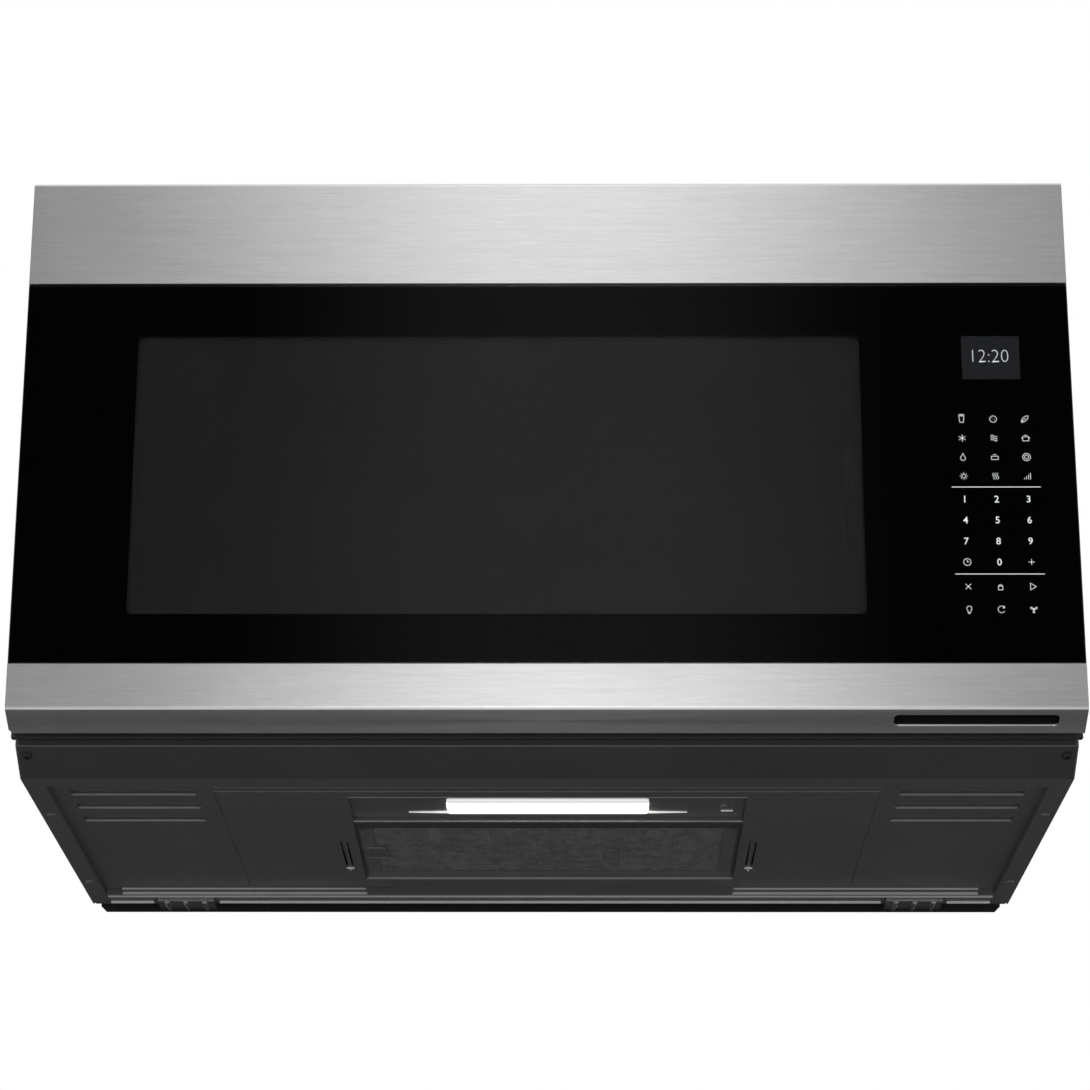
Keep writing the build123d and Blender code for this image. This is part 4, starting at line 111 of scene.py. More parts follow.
# %% A tidy way to build a node group
def new_group(name, inputs, outputs):
    """An empty group with named sockets, and its coordinate, entry and exit nodes."""
    group = bpy.data.node_groups.new(name, "ShaderNodeTree")
    for label, kind, value in inputs:
        socket = group.interface.new_socket(label, in_out="INPUT", socket_type="NodeSocket" + kind)
        socket.default_value = value
    for label in outputs:
        group.interface.new_socket(label, in_out="OUTPUT", socket_type="NodeSocketFloat")
    entry = group.nodes.new("NodeGroupInput")
    exit_node = group.nodes.new("NodeGroupOutput")
    place = group.nodes.new("ShaderNodeTexCoord")
    return group, entry, exit_node, place.outputs["Object"]


PATTERN_OUTPUTS = ["Tone", "Height"]
print("every pattern hands out:", ", ".join(PATTERN_OUTPUTS))

# %% [markdown]
# Brushed grain: on the real door an abrasive belt leaves long fine scratches. They could be cut into
# the mesh, but there are thousands, each thinner than a hair. Stretching a noise along one axis gives
# the same picture. Two noises of different length keep it from looking like a bar code.

# %% Brushed grain
def streaks_group():
    group, entry, exit_node, place = new_group(
        "streaks", [("Stretch", "Vector", (42, 42, 980)), ("Soft", "Vector", (9, 9, 330))],
        PATTERN_OUTPUTS)
    layers = []
    for label, detail in (("Stretch", 2.0), ("Soft", 1.0)):
        scaled = vector_node(group, "MULTIPLY", place, entry.outputs[label])
        noise = add(group, "TexNoise", Vector=scaled, Scale=1.0, Detail=detail, Roughness=0.6)
        layers.append(noise.outputs["Fac"])
    soft_share = math_node(group, "MULTIPLY", layers[1], 0.35)
    both = math_node(group, "MULTIPLY_ADD", layers[0], 0.65, soft_share)
    group.links.new(spread(group, both, 0.3, 0.7), exit_node.inputs["Tone"])
    group.links.new(layers[0], exit_node.inputs["Height"])
    return group


PATTERNS = {"streaks": streaks_group()}
print("grain:", PATTERNS["streaks"].name)

# %% [markdown]
# Powder coat and moulded plastic have a fine orange-peel skin. The pebble group is a noise about a
# millimetre wide for the bump, mixed with a slow one, so that a large panel isn't the same all over.

# %% Pebble
def pebble_group():
    group, entry, exit_node, place = new_group(
        "pebble", [("Scale", "Float", 900.0)], PATTERN_OUTPUTS)
    fine = add(group, "TexNoise", Vector=place, Scale=entry.outputs["Scale"], Detail=2.0,
               Roughness=0.5).outputs["Fac"]
    wide = add(group, "TexNoise", Vector=place, Scale=9.0, Detail=2.0).outputs["Fac"]
    mixed = math_node(group, "MULTIPLY_ADD", fine, 0.5, math_node(group, "MULTIPLY", wide, 0.5))
    group.links.new(spread(group, mixed, 0.3, 0.7), exit_node.inputs["Tone"])
    group.links.new(fine, exit_node.inputs["Height"])
    return group


PATTERNS["pebble"] = pebble_group()
print("skin:", PATTERNS["pebble"].name)

# %% [markdown]
# Zinc freezes in crystals: flat patches, each with its own tone. Voronoi cells have that shape, and
# a little noise added to their coordinates bends the straight borders. Enamel has sparse light
# specks, because some cells of the same texture pass a test of chance and show a dot.

# %% Spangle and speckle
def spangle_group():
    group, entry, exit_node, place = new_group(
        "spangle", [("Scale", "Float", 120.0)], PATTERN_OUTPUTS)
    bend = add(group, "TexNoise", Vector=place, Scale=60.0, Detail=2.0).outputs["Color"]
    moved = vector_node(group, "MULTIPLY_ADD", bend, (0.01, 0.01, 0.01), place)
    cells = add(group, "TexVoronoi", Vector=moved, Scale=entry.outputs["Scale"])
    tone = add(group, "SeparateColor", Color=cells.outputs["Color"])
    group.links.new(tone.outputs[0], exit_node.inputs["Tone"])
    group.links.new(cells.outputs["Distance"], exit_node.inputs["Height"])
    return group


def speckle_group():
    group, entry, exit_node, place = new_group(
        "speckle", [("Scale", "Float", 420.0)], PATTERN_OUTPUTS)
    cells = add(group, "TexVoronoi", Vector=place, Scale=entry.outputs["Scale"])
    chance = add(group, "SeparateColor", Color=cells.outputs["Color"]).outputs[0]
    dot = spread(group, cells.outputs["Distance"], 0.32, 0.22)
    speck = math_node(group, "MULTIPLY", dot, math_node(group, "GREATER_THAN", chance, 0.72))
    drift = add(group, "TexNoise", Vector=place, Scale=14.0, Detail=2.0).outputs["Fac"]
    ground = math_node(group, "MULTIPLY", drift, 0.35)
    tone = math_node(group, "MULTIPLY_ADD", speck, 0.65, ground, clamp=True)
    group.links.new(tone, exit_node.inputs["Tone"])
    group.links.new(drift, exit_node.inputs["Height"])
    return group


PATTERNS["spangle"], PATTERNS["speckle"] = spangle_group(), speckle_group()
print("patterns:", ", ".join(PATTERNS))

# %% [markdown]
# Handling leaves a surface slightly uneven in its gloss. The smudge group is a slow cloudy noise
# that every finish adds to its roughness. The box group says whether a point lies in a box, so that
# one solid can show the copper of its windings and the steel of its core without being cut up.

# %% Smudge and box masks
def smudge_group():
    group, entry, exit_node, place = new_group("smudge", [("Scale", "Float", 7.0)], ["Value"])
    cloud = add(group, "TexNoise", Vector=place, Scale=entry.outputs["Scale"], Detail=4.0,
                Roughness=0.65, Distortion=0.8).outputs["Fac"]
    group.links.new(spread(group, cloud, 0.15, 0.85, smooth=True), exit_node.inputs["Value"])
    return group


def box_group():
    group, entry, exit_node, place = new_group(
        "in_box", [("Low", "Vector", (0, 0, 0)), ("High", "Vector", (1, 1, 1))], ["Mask"])
    above = vector_node(group, "SUBTRACT", place, entry.outputs["Low"])
    below = vector_node(group, "SUBTRACT", entry.outputs["High"], place)
    x, y, z = add(group, "SeparateXYZ", Vector=vector_node(group, "MINIMUM", above, below)).outputs
    smallest = math_node(group, "MINIMUM", x, math_node(group, "MINIMUM", y, z))
    group.links.new(math_node(group, "GREATER_THAN", smallest, 0.0), exit_node.inputs["Mask"])
    return group


SMUDGE, IN_BOX = smudge_group(), box_group()
print("masks:", SMUDGE.name, IN_BOX.name)

# %% [markdown]
# ## One recipe for every opaque finish
#
# A finish is a colour with its lighter and darker neighbours, a roughness that drifts, and a bump.
# Some thirty materials could be wired by hand, but then each would have its own mistakes. The recipe
# takes the numbers, places the pattern that is asked for, and wires everything into one Principled shader.
# Numbers that are the same everywhere are set on the shader itself.

# %% Parts of the recipe
def placed(tree, group, **values):
    """A group in a tree, with some of its inputs set."""
    node = tree.nodes.new("ShaderNodeGroup")
    node.node_tree = group
    for label, value in values.items():
        node.inputs[label].default_value = value
    return node


def shader_of(material):
    return material.node_tree.nodes["Principled BSDF"]


def blank(name):
    material = bpy.data.materials.new(name)
    material.use_nodes = True
    return material, material.node_tree, shader_of(material)


MIX_SOCKETS = {"RGBA": (6, 7, 2), "FLOAT": (2, 3, 0)}


def mix(tree, factor, first, second, kind="RGBA"):
    """Blends two colours, or two numbers if the kind is FLOAT."""
    node = add(tree, "Mix", {"data_type": kind})
    at_first, at_second, at_result = MIX_SOCKETS[kind]
    for index, value in ((0, factor), (at_first, first), (at_second, second)):
        feed(tree, node.inputs[index], value)
    return node.outputs[at_result]


def shade(color, factor):
    return (*[min(1.0, part * factor) for part in color], 1.0)


def two_tone(tree, grain, color, tone):
    """A colour that the grain makes a little darker or lighter."""
    return mix(tree, grain.outputs["Tone"], shade(color, 1 - tone), shade(color, 1 + tone))


def box_mask(tree, low, high):
    """1 inside a box that is given in millimetres, and 0 outside it."""
    return placed(tree, IN_BOX, Low=[v * MM for v in low], High=[v * MM for v in high]).outputs["Mask"]


def set_sockets(shader, sockets):
    for label, value in sockets.items():
        shader.inputs[label.replace("_", " ")].default_value = value


print("parts ready")

# %% The recipe
def finish(name, color, rough, pattern="pebble", texture=None, metallic=0.0, tone=0.15, bump=0.15,
           depth=0.05, drift=0.06, patches=(), **sockets):
    """A finished opaque material. depth is the bump's height in millimetres.

    A patch is a box in millimetres, with the colour, roughness and metallic that hold inside it.
    """
    material, tree, shader = blank(name)
    grain = placed(tree, PATTERNS[pattern], **(texture or {}))
    cloud = placed(tree, SMUDGE)
    base = two_tone(tree, grain, color, tone)
    gloss = spread(tree, cloud.outputs["Value"], 0, 1, rough - drift, rough + drift)
    metal = metallic
    for low, high, patch_color, patch_rough, patch_metal in patches:
        mask = box_mask(tree, low, high)
        base = mix(tree, mask, base, two_tone(tree, grain, patch_color, tone))
        gloss = math_node(tree, "MULTIPLY_ADD", mask, patch_rough - rough, gloss)
        step = patch_metal - metallic
        if step:
            metal = math_node(tree, "MULTIPLY_ADD", mask, step, metal, clamp=True)
    feed(tree, shader.inputs["Base Color"], base)
    feed(tree, shader.inputs["Roughness"], gloss)
    feed(tree, shader.inputs["Metallic"], metal)
    relief = add(tree, "Bump", Strength=bump, Distance=depth * MM, Height=grain.outputs["Height"])
    feed(tree, shader.inputs["Normal"], relief.outputs["Normal"])
    set_sockets(shader, sockets)
    return material


print("recipe ready")

# %% [markdown]
# ## Brushed steel
#
# The door's two bands are brushed stainless steel, with the grain along the door. A brushed metal
# smears reflections across its grain. Deep scratches in the bump would do it, but they would flicker
# at this distance, so the shader's anisotropic setting does the smearing. The roughness stays over
# 0.27 all over. Under that, the filter that cleans the render takes steel for a mirror, and the
# smudges get hard edges.

# %% Brushed steel
BRUSHED = finish("brushed_steel", (0.72, 0.72, 0.72), 0.30, "streaks", metallic=1.0, tone=0.08,
                 bump=0.06, depth=0.02, drift=0.02, Anisotropic=0.6, Anisotropic_Rotation=0.25)
tangent = add(BRUSHED.node_tree, "Tangent", {"direction_type": "RADIAL", "axis": "Z"})
feed(BRUSHED.node_tree, shader_of(BRUSHED).inputs["Tangent"], tangent.outputs[0])
print("bands:", BRUSHED.name)

# %% [markdown]
# ## Painted steel
#
# The cabinet is folded from sheet steel with a dark grey powder coat. The wall plate and the front frame
# are nearly black, and the wall plate is darker still with painted shade, for the shaded gap it hangs in.
# Where the press has bent the sheet, the bend catches the light, and those edges are drawn in a lighter
# paint as a painted highlight.

# %% Paints
COAT = {"texture": {"Scale": 1500.0}, "tone": 0.10, "bump": 0.10, "depth": 0.03, "Specular_IOR_Level": 0.8}
PAINT_COLOR, PAINTED_HIGHLIGHT_COLOR = (0.040, 0.040, 0.0405), (0.21, 0.21, 0.215)
DULL_COAT = {"texture": {"Scale": 1200.0}, "tone": 0.12}
DARK_PAINT = finish("dark_powder_coat", PAINT_COLOR, 0.34, **COAT)
PAINTED_HIGHLIGHT_PAINT = finish("painted_highlight_edge_paint", PAINTED_HIGHLIGHT_COLOR, 0.30, **COAT)
# The wall plate's black is deepened with painted shade, for the shaded gap it hangs in.
PLATE_PAINT_AND_SHADE = finish("wall_plate_paint_and_shade", (0.004, 0.004, 0.004), 0.60, Specular_IOR_Level=0.25,
                     **DULL_COAT)
BLACK_PAINT = finish("black_frame_paint", (0.012, 0.012, 0.012), 0.45, Specular_IOR_Level=0.2,
                     **DULL_COAT)
CHOKE_PAINT = BLACK_PAINT.copy()
print("paints:", DARK_PAINT.name, PAINTED_HIGHLIGHT_PAINT.name, PLATE_PAINT_AND_SHADE.name, BLACK_PAINT.name)

# %% [markdown]
# The base pan is one pressed sheet, and its bends are far too thin to hold pieces of their own. Each bend
# is a flat box, in millimetres, that turns the paint inside it lighter: a painted highlight where the bend
# catches the light. Two more boxes paint shade on the strip under the door and on the slope in front,
# which the door keeps in its shade. A last box paints a brighter highlight on the rear bead.

# %% Painted highlights and shade on the base pan
RIB_REAR_ENDS, FLOOR_LINES = (-334.4, -297.0, -259.6), (-356.5, -346.0)
REAR_BEADS = ((-41.2, -35.8), (-22.2, -15.8))
LIGHT_RECESS_LIPS = [((-146.6, -330.0, 4.6), (146.6, -328.3, 4.8)),
                     ((-146.6, -259.1, 4.6), (146.6, -258.0, 5.7))]
FILTER_REAR_WALL = ((-146.9, -76.1, 4.75), (146.9, -75.8, 6.9))

# Painted highlights: the paint is lighter in these boxes, on bends and walls that catch the light.
highlight_boxes = [((-350, y - 0.35, 4.8), (350, y + 0.06, 6.3)) for y in RIB_REAR_ENDS]
highlight_boxes += [((-243, y, 4.6), (243, y + 1.3, 5.2)) for y in FLOOR_LINES]
highlight_boxes += [((-360, y0, -2), (360, y1, -0.35)) for y0, y1 in REAR_BEADS]
highlight_boxes += [*LIGHT_RECESS_LIPS, FILTER_REAR_WALL]

# Painted shade under the door and on the front slope, and a painted highlight on the rear bead.
UNDER_DOOR = ((-400, -430, 16.8), (400, -424.6, 30), (0.003, 0.003, 0.003), 0.6, 0.0)
FRONT_SLOPE = ((-400, -430, -1), (400, -397.7, 16.8), (0.017, 0.017, 0.0175), 0.34, 0.0)
BEAD_HIGHLIGHT = ((-360, -22.2, -2), (360, -15.8, -0.3), (0.32, 0.32, 0.325), 0.3, 0.0)
pan_patches = [UNDER_DOOR, FRONT_SLOPE, *[(*box, PAINTED_HIGHLIGHT_COLOR, 0.3, 0.0) for box in highlight_boxes],
               BEAD_HIGHLIGHT]
PAN_PAINT = finish("pan_powder_coat", PAINT_COLOR, 0.34, patches=pan_patches, **COAT)
print("pan:", PAN_PAINT.name, "patches:", len(pan_patches))

# %% [markdown]
# ## Zinc, aluminium and enamel
#
# Hidden brackets are zinc plated, and ducts are galvanised sheet with wide crystals. The hooks on the
# wall plate are left bright. The filter is soft aluminium, dulled by wash and grease, so it is only
# part metallic here. The oven's inside is grey enamel with specks under a clear glaze, which is the
# shader's coat.

# %% Zinc and bright steel
ZINC = finish("zinc_plate", (0.56, 0.57, 0.58), 0.34, "spangle", {"Scale": 160.0}, metallic=1.0,
              tone=0.09, bump=0.05, depth=0.01)
SPANGLE = finish("galvanised_sheet", (0.47, 0.48, 0.49), 0.36, "spangle", {"Scale": 70.0},
                 metallic=1.0, tone=0.16, bump=0.05, depth=0.01)
TAB_STEEL = finish("bright_tab_steel", (0.55, 0.55, 0.55), 0.30, "streaks", metallic=1.0, tone=0.12)
print("zinc:", ZINC.name, SPANGLE.name, "bright:", TAB_STEEL.name)

# %% Filter aluminium and enamel
DULLED = 0.25
ALUMINIUM = finish("filter_aluminium", (0.066, 0.0665, 0.067), 0.42, "spangle", {"Scale": 170.0},
                   metallic=DULLED, tone=0.28)
RIM_LIKE_MESH = ((-144, -229, 5), (144, -76, 9.5), (0.060, 0.0605, 0.061), 0.42, DULLED)
TAB_EDGES = [((-145, y, 5), (-126, y + 1.6, 6.5), (0.16, 0.16, 0.16), 0.4, DULLED)
             for y in (-173.2, -142.4)]
RIM_ALUMINIUM = finish("filter_rim_aluminium", (0.030, 0.030, 0.031), 0.40, "streaks",
                       metallic=DULLED, tone=0.10, patches=[RIM_LIKE_MESH, *TAB_EDGES])
ENAMEL = finish("grey_enamel", (0.20, 0.205, 0.21), 0.22, "speckle", tone=0.55, bump=0.05,
                depth=0.05, Coat_Weight=0.4)
print("filter:", ALUMINIUM.name, RIM_ALUMINIUM.name, "oven:", ENAMEL.name)

# %% [markdown]
# ## Plastics and boards
#
# Mouldings take the grain of their mould, which the pebble pattern gives. The handle's pocket is a deep
# recess that looks like a black hole, so its plastic is painted darker and duller than the rest as painted
# shade. Charcoal is a bed of granules, and a deep bump stands in for them. Boards are green laminate under
# a clear lacquer.

# %% Moulded and laminated finishes
BLACK_MOULD = finish("black_moulding", (0.014, 0.014, 0.015), 0.46, texture={"Scale": 1100.0}, bump=0.2)
# Painted shade: darker, duller plastic inside the handle's pocket.
POCKET_SHADE_MOULD = finish("pocket_painted_shade", (0.003, 0.003, 0.003), 0.60, texture={"Scale": 1400.0},
                      bump=0.2, Specular_IOR_Level=0.15)
WHITE_MOULD = finish("natural_moulding", (0.74, 0.73, 0.69), 0.40, texture={"Scale": 700.0}, tone=0.03)
CARBON = finish("carbon_granules", (0.012, 0.012, 0.012), 0.75, "speckle", {"Scale": 300.0},
                tone=0.7, bump=0.9, depth=1.2)
MICA = finish("mica_sheet", (0.52, 0.46, 0.37), 0.35, "spangle", {"Scale": 200.0}, tone=0.12)
BOARD = finish("board_laminate", (0.05, 0.20, 0.10), 0.35, "spangle", {"Scale": 260.0}, tone=0.25,
               Coat_Weight=0.5)
print("mouldings:", BLACK_MOULD.name, WHITE_MOULD.name, BOARD.name)

# %% [markdown]
# ## Machinery
#
# A transformer is a steel core between two copper windings, and a magnetron is a stack of fins with a
# ceramic end. Each is one solid here, so it stands for several materials. The boxes below are given
# as shares of the solid's own box, which keeps them right if the solid is moved.

# %% Machinery finishes
COPPER, STEEL_GREY, CERAMIC = (0.72, 0.33, 0.16), (0.35, 0.35, 0.36), (0.75, 0.72, 0.66)


def box_mm(node, low=(0, 0, 0), high=(1, 1, 1)):
    """A box inside a node's own box, given as shares of its sides."""
    corner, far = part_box(node)
    size = far - corner
    return [[(corner[i] + size[i] * share[i]) * 1000 for i in range(3)] for share in (low, high)]


def machine(name, node, color, rough, *patches):
    made = [(*box_mm(node, low, high), *values) for low, high, *values in patches]
    return finish(name, color, rough, "streaks", metallic=1.0, tone=0.10, patches=made)


TRANSFORMER = machine("transformer_windings", "transformer", STEEL_GREY, 0.5,
                      ((-0.1, -0.1, 0.1), (1.1, 0.19, 1.1), COPPER, 0.35, 1.0),
                      ((-0.1, 0.81, 0.1), (1.1, 1.1, 1.1), COPPER, 0.35, 1.0))
MAGNETRON = machine("magnetron_fins", "magnetron", (0.7, 0.7, 0.7), 0.3,
                    ((-0.1, -0.1, -0.1), (0.16, 1.1, 1.1), CERAMIC, 0.5, 0.0))
MOTOR = finish("motor_steel", (0.42, 0.42, 0.43), 0.38, "streaks", metallic=1.0, tone=0.15)
LAMP_GLASS = finish("lamp_bulb", (0.85, 0.83, 0.78), 0.3, tone=0.05)
print("machinery:", TRANSFORMER.name, MAGNETRON.name, MOTOR.name)

# %% [markdown]
# ## The perforated screen
#
# Behind the door's window hangs a steel screen with thousands of small holes, which keep the
# microwaves in. Cutting them in the mesh would cost millions of faces. The material's alpha cuts them
# instead: one mask, made from two square grids that are shifted by half a step, gives the staggered
# rows.

# %% Staggered holes
def holes_group():
    group, entry, exit_node, place = new_group(
        "staggered_holes",
        [("Pitch", "Vector", (0.0016, 1.0, 0.00277)), ("Radius", "Float", 0.00052)], ["Solid"])
    pitch = entry.outputs["Pitch"]
    scaled = vector_node(group, "DIVIDE", place, pitch)
    distances = []
    for shift in (0.0, 0.5):
        moved = vector_node(group, "ADD", scaled, (shift, 0, shift))
        centred = vector_node(group, "SUBTRACT", vector_node(group, "FRACTION", moved), (0.5, 0.5, 0.5))
        real = vector_node(group, "MULTIPLY", centred, pitch)
        flat = vector_node(group, "MULTIPLY", real, (1, 0, 1))
        distances.append(vector_node(group, "LENGTH", flat))
    nearest = math_node(group, "MINIMUM", *distances)
    solid = math_node(group, "GREATER_THAN", nearest, entry.outputs["Radius"])
    group.links.new(solid, exit_node.inputs["Solid"])
    return group


SCREEN = finish("perforated_screen", (0.078, 0.077, 0.076), 0.45, texture={"Scale": 800.0}, tone=0.1,
                Specular_IOR_Level=1.0)
holes = placed(SCREEN.node_tree, holes_group())
feed(SCREEN.node_tree, shader_of(SCREEN).inputs["Alpha"], holes.outputs["Solid"])
print("screen:", SCREEN.name)

# %% [markdown]
# ## Clear finishes
#
# The door's glass is tinted and clear, and black enamel is printed on its back. The turntable's tray
# is soda glass with a green edge, and the inner window is a clear film. All three let light through
# by the shader's transmission, and only their roughness varies. The print gives no reflection of its
# own, because it lies behind the glass that does.

# %% Glass, film and print
def clear(name, color, rough, ior=1.5, drift=0.01):
    material, tree, shader = blank(name)
    cloud = placed(tree, SMUDGE)
    gloss = spread(tree, cloud.outputs["Value"], 0, 1, max(0, rough - drift), rough + drift)
    feed(tree, shader.inputs["Roughness"], gloss)
    set_sockets(shader, {"Base_Color": (*color, 1), "Transmission_Weight": 1.0, "IOR": ior})
    return material


PANE = clear("tinted_door_glass", (0.62, 0.63, 0.64), 0.012)
TRAY_GLASS = clear("tray_glass", (0.90, 0.96, 0.94), 0.02)
CLEAR_PLASTIC = clear("inner_window_film", (0.85, 0.86, 0.86), 0.10)
FRIT = finish("black_frit", (0.0015, 0.0015, 0.0016), 0.60, texture={"Scale": 2000.0}, tone=0.2,
              bump=0.02, Specular_IOR_Level=0.0)
print("clear:", PANE.name, TRAY_GLASS.name, CLEAR_PLASTIC.name, "print:", FRIT.name)

# %% [markdown]
# ## Lit parts
#
# The lens under the oven, the key marks and the display give off light. A lamp behind each would
# take long to render and leave noise, so the surface itself glows. The lens is only bright where the
# board of lamps sits behind it, and a box mask keeps the rest dim.

# %% Lens, keys and display
def lit(name, color, strength, rough=0.4):
    """A finish that gives off its own light, a little uneven."""
    material, tree, shader = blank(name)
    cloud = placed(tree, SMUDGE, Scale=12.0)
    glow = mix(tree, cloud.outputs["Value"], shade(color, 0.92), shade(color, 1.0))
    feed(tree, shader.inputs["Emission Color"], glow)
    set_sockets(shader, {"Emission_Strength": strength, "Base_Color": shade(color, 0.8),
                         "Roughness": rough})
    return material


PRINT = lit("lit_key_print", (0.92, 0.94, 0.96), 0.9)
DISPLAY = lit("display_panel", (0.030, 0.031, 0.034), 0.55, 0.2)
LENS = lit("lit_lens", (1.0, 0.99, 0.97), 12.0, 0.25)
LENS_BRIGHT = ((-76.0, -304.5, -1000.0), (76.0, -278.0, 1000.0))
LENS_DIM = (0.022, 0.022, 0.021, 1.0)
lens_tree, lens_emission = LENS.node_tree, shader_of(LENS).inputs["Emission Color"]
lens_core = box_mask(lens_tree, *LENS_BRIGHT)
lens_glow = lens_emission.links[0].from_socket
feed(lens_tree, lens_emission, mix(lens_tree, lens_core, LENS_DIM, lens_glow))
print("lit:", PRINT.name, DISPLAY.name, LENS.name)

# %% [markdown]
# ## Give every solid its finish
#
# One table says which nodes get which finish. It could be a line for each of the sixty nodes, but a
# table by finish shows at a glance what is made of the same stuff.

# %% Finishes by node
DRESS = {
    BRUSHED: "top_trim bottom_trim",
    DARK_PAINT: "outer_wrapper light_cover rear_panel",
    PAN_PAINT: "base_pan",
    BLACK_PAINT: "front_frame",
    PLATE_PAINT_AND_SHADE: "wall_plate",
    ZINC: "hinge_pins hinge_brackets duct_wall blower_plate latch_spring filter_spring fan_shroud "
          "lamp_housing filter_rails capacitor_and_diode heat_and_steam_sensors",
    SPANGLE: "waveguide blower_housings",
    TAB_STEEL: "wall_hooks base_screws",
    ALUMINIUM: "filter_mesh",
    RIM_ALUMINIUM: "filter_frame",
    ENAMEL: "oven_cavity",
    BLACK_MOULD: "door_body choke_cover vent_grille interlock_bracket interlock_switches corner_caps "
                 "cord_gland fan_motor",
    POCKET_SHADE_MOULD: "handle_pocket",
    WHITE_MOULD: "latch_hooks drive_coupler roller_ring roller_1 roller_2 roller_3 blower_wheels "
                 "cooling_fan",
    CARBON: "charcoal_filter",
    MICA: "waveguide_cover",
    BOARD: "touch_board control_board cooktop_lamp_board mains_filter_board",
    TRANSFORMER: "transformer",
    MAGNETRON: "magnetron",
    MOTOR: "turntable_motor vent_motor",
    LAMP_GLASS: "cavity_lamp",
    SCREEN: "window_screen",
    CHOKE_PAINT: "choke_panel",
    PANE: "door_glass",
    TRAY_GLASS: "turntable_tray",
    CLEAR_PLASTIC: "inner_window",
    LENS: "light_lens",
}
for material, names in DRESS.items():
    for node_name in names.split():
        nodes[node_name].data.materials.clear()
        nodes[node_name].data.materials.append(material)
undressed = set(nodes) - {name for names in DRESS.values() for name in names.split()}
print("finishes:", len(DRESS), "nodes left bare:", sorted(undressed))

# %% [markdown]
# ## Meshes of our own
#
# The finer pieces are built point by point. They could be drawn by hand in the viewport, but a script
# gives the same piece every time. The first helper turns a mesh into an object, and tells it which
# body it moves with and which slot its finish fills. Then come an arc, a rounded rectangle of four
# arcs, and a fill that takes an outline with holes in it and pushes it to its thickness.

# %% Mesh helpers
def piece(name, bm, material, body, smooth=False):
    """Turns a bmesh into an object that rides on a body and takes a slot's finish."""
    mesh = bpy.data.meshes.new(name)
    bmesh.ops.recalc_face_normals(bm, faces=bm.faces[:])
    bm.to_mesh(mesh)
    bm.free()
    mesh.materials.append(material)
    made = bpy.data.objects.new(name, mesh)
    bpy.context.scene.collection.objects.link(made)
    if smooth:
        for face in mesh.polygons:
            face.use_smooth = True
    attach(made, body)
    return made


def arc(cx, cz, radius, start, end, steps=12):
    """Points on a part of a circle, its ends given in degrees."""
    angles = [math.radians(start + (end - start) * i / steps) for i in range(steps + 1)]
    return [(cx + radius * math.cos(angle), cz + radius * math.sin(angle)) for angle in angles]


def rounded(x0, x1, z0, z1, radius, steps=6):
    """Points of a rounded rectangle, in order."""
    points = []
    for cx, cz, start in ((x1 - radius, z1 - radius, 0), (x0 + radius, z1 - radius, 90),
                          (x0 + radius, z0 + radius, 180), (x1 - radius, z0 + radius, 270)):
        points += arc(cx, cz, radius, start, start + 90, steps)
    return points


def fill_outline(bm, loops, front, back):
    """Fills loops of X and Z points, outer first and holes after, between two depths."""
    edges = []
    for loop in loops:
        corners = [bm.verts.new((x, front, z)) for x, z in loop]
        edges += [bm.edges.new(pair) for pair in zip(corners, corners[1:] + corners[:1])]
    made = bmesh.ops.triangle_fill(bm, use_beauty=True, edges=edges)
    faces = [item for item in made["geom"] if isinstance(item, bmesh.types.BMFace)]
    pushed = bmesh.ops.extrude_face_region(bm, geom=faces)
    moved = [item for item in pushed["geom"] if isinstance(item, bmesh.types.BMVert)]
    bmesh.ops.translate(bm, verts=moved, vec=(0, back - front, 0))


print("mesh helpers ready")

# %% [markdown]
# ## The door's glass
#
# On the real door one sheet of tempered glass, 4 mm thick, covers the window and the controls. Its
# edges are ground to a small bevel. Black enamel on its back hides the door's frame, and is left out
# over the window and the display. One mesh with two materials could show that, but the enamel has to
# be seen through the glass. So there are two pieces: a clear pane, and a thin black print behind it.

# %% Clear pane
glass_low, glass_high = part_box("door_glass")
PRINT_ROOM, GROUND_EDGE = 0.0005, 0.0006
size = glass_high - glass_low
size.y -= PRINT_ROOM
bm = bmesh.new()
bmesh.ops.create_cube(bm, size=1.0)
for vert in bm.verts:
    vert.co = Vector([glass_low[i] + (vert.co[i] + 0.5) * size[i] for i in range(3)])
bmesh.ops.bevel(bm, geom=bm.edges[:], offset=GROUND_EDGE, segments=3, affect="EDGES", profile=0.5)
pane = piece("door_glass_pane", bm, PANE, "door")
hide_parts("door_glass")
print("pane:", [round(v * 1000, 1) for v in size])

# %% [markdown]
# The layers behind the pane are fractions of a millimetre apart, and their order decides what hides
# what. From the back: the display's panel, the clock's digits, the enamel, and the marks of the keys.
# Their depths are written together here, each measured forward from the glass's back.

# %% Black print
BACK, PANEL_FRONT, CLOCK_FRONT, PRINT_FRONT, DIGIT_FRONT, ICON_FRONT = [
    glass_high.y - depth * MM for depth in (0.05, 0.3, 0.4, 0.45, 0.5, 0.55)]
WINDOW = [v * MM for v in (-297.8, 226.8, 105.8, 319.1)]
DISPLAY_AREA = [v * MM for v in (300.9, 343.0, 284.3, 318.1)]
PRINT_INSET = 0.0002
display_outline = rounded(*DISPLAY_AREA, 0.0008)
print_outline = rounded(glass_low.x + PRINT_INSET, glass_high.x - PRINT_INSET,
                        glass_low.z + PRINT_INSET, glass_high.z - PRINT_INSET, 0.001)
bm = bmesh.new()
fill_outline(bm, [print_outline, rounded(*WINDOW, 0.0015), display_outline], PRINT_FRONT, BACK)
frit = piece("door_glass_print", bm, FRIT, "door")
print("print faces:", len(frit.data.polygons))

# %% [markdown]
# ## Display and keys
#
# The touch keys are white marks behind the glass, lit from the back, and the display is a small dark
# panel with a clock. An image would be the usual way to show them, but marks made of faces stay sharp
# at any distance. The digits come from Blender's own font, turned into a mesh and set to size.

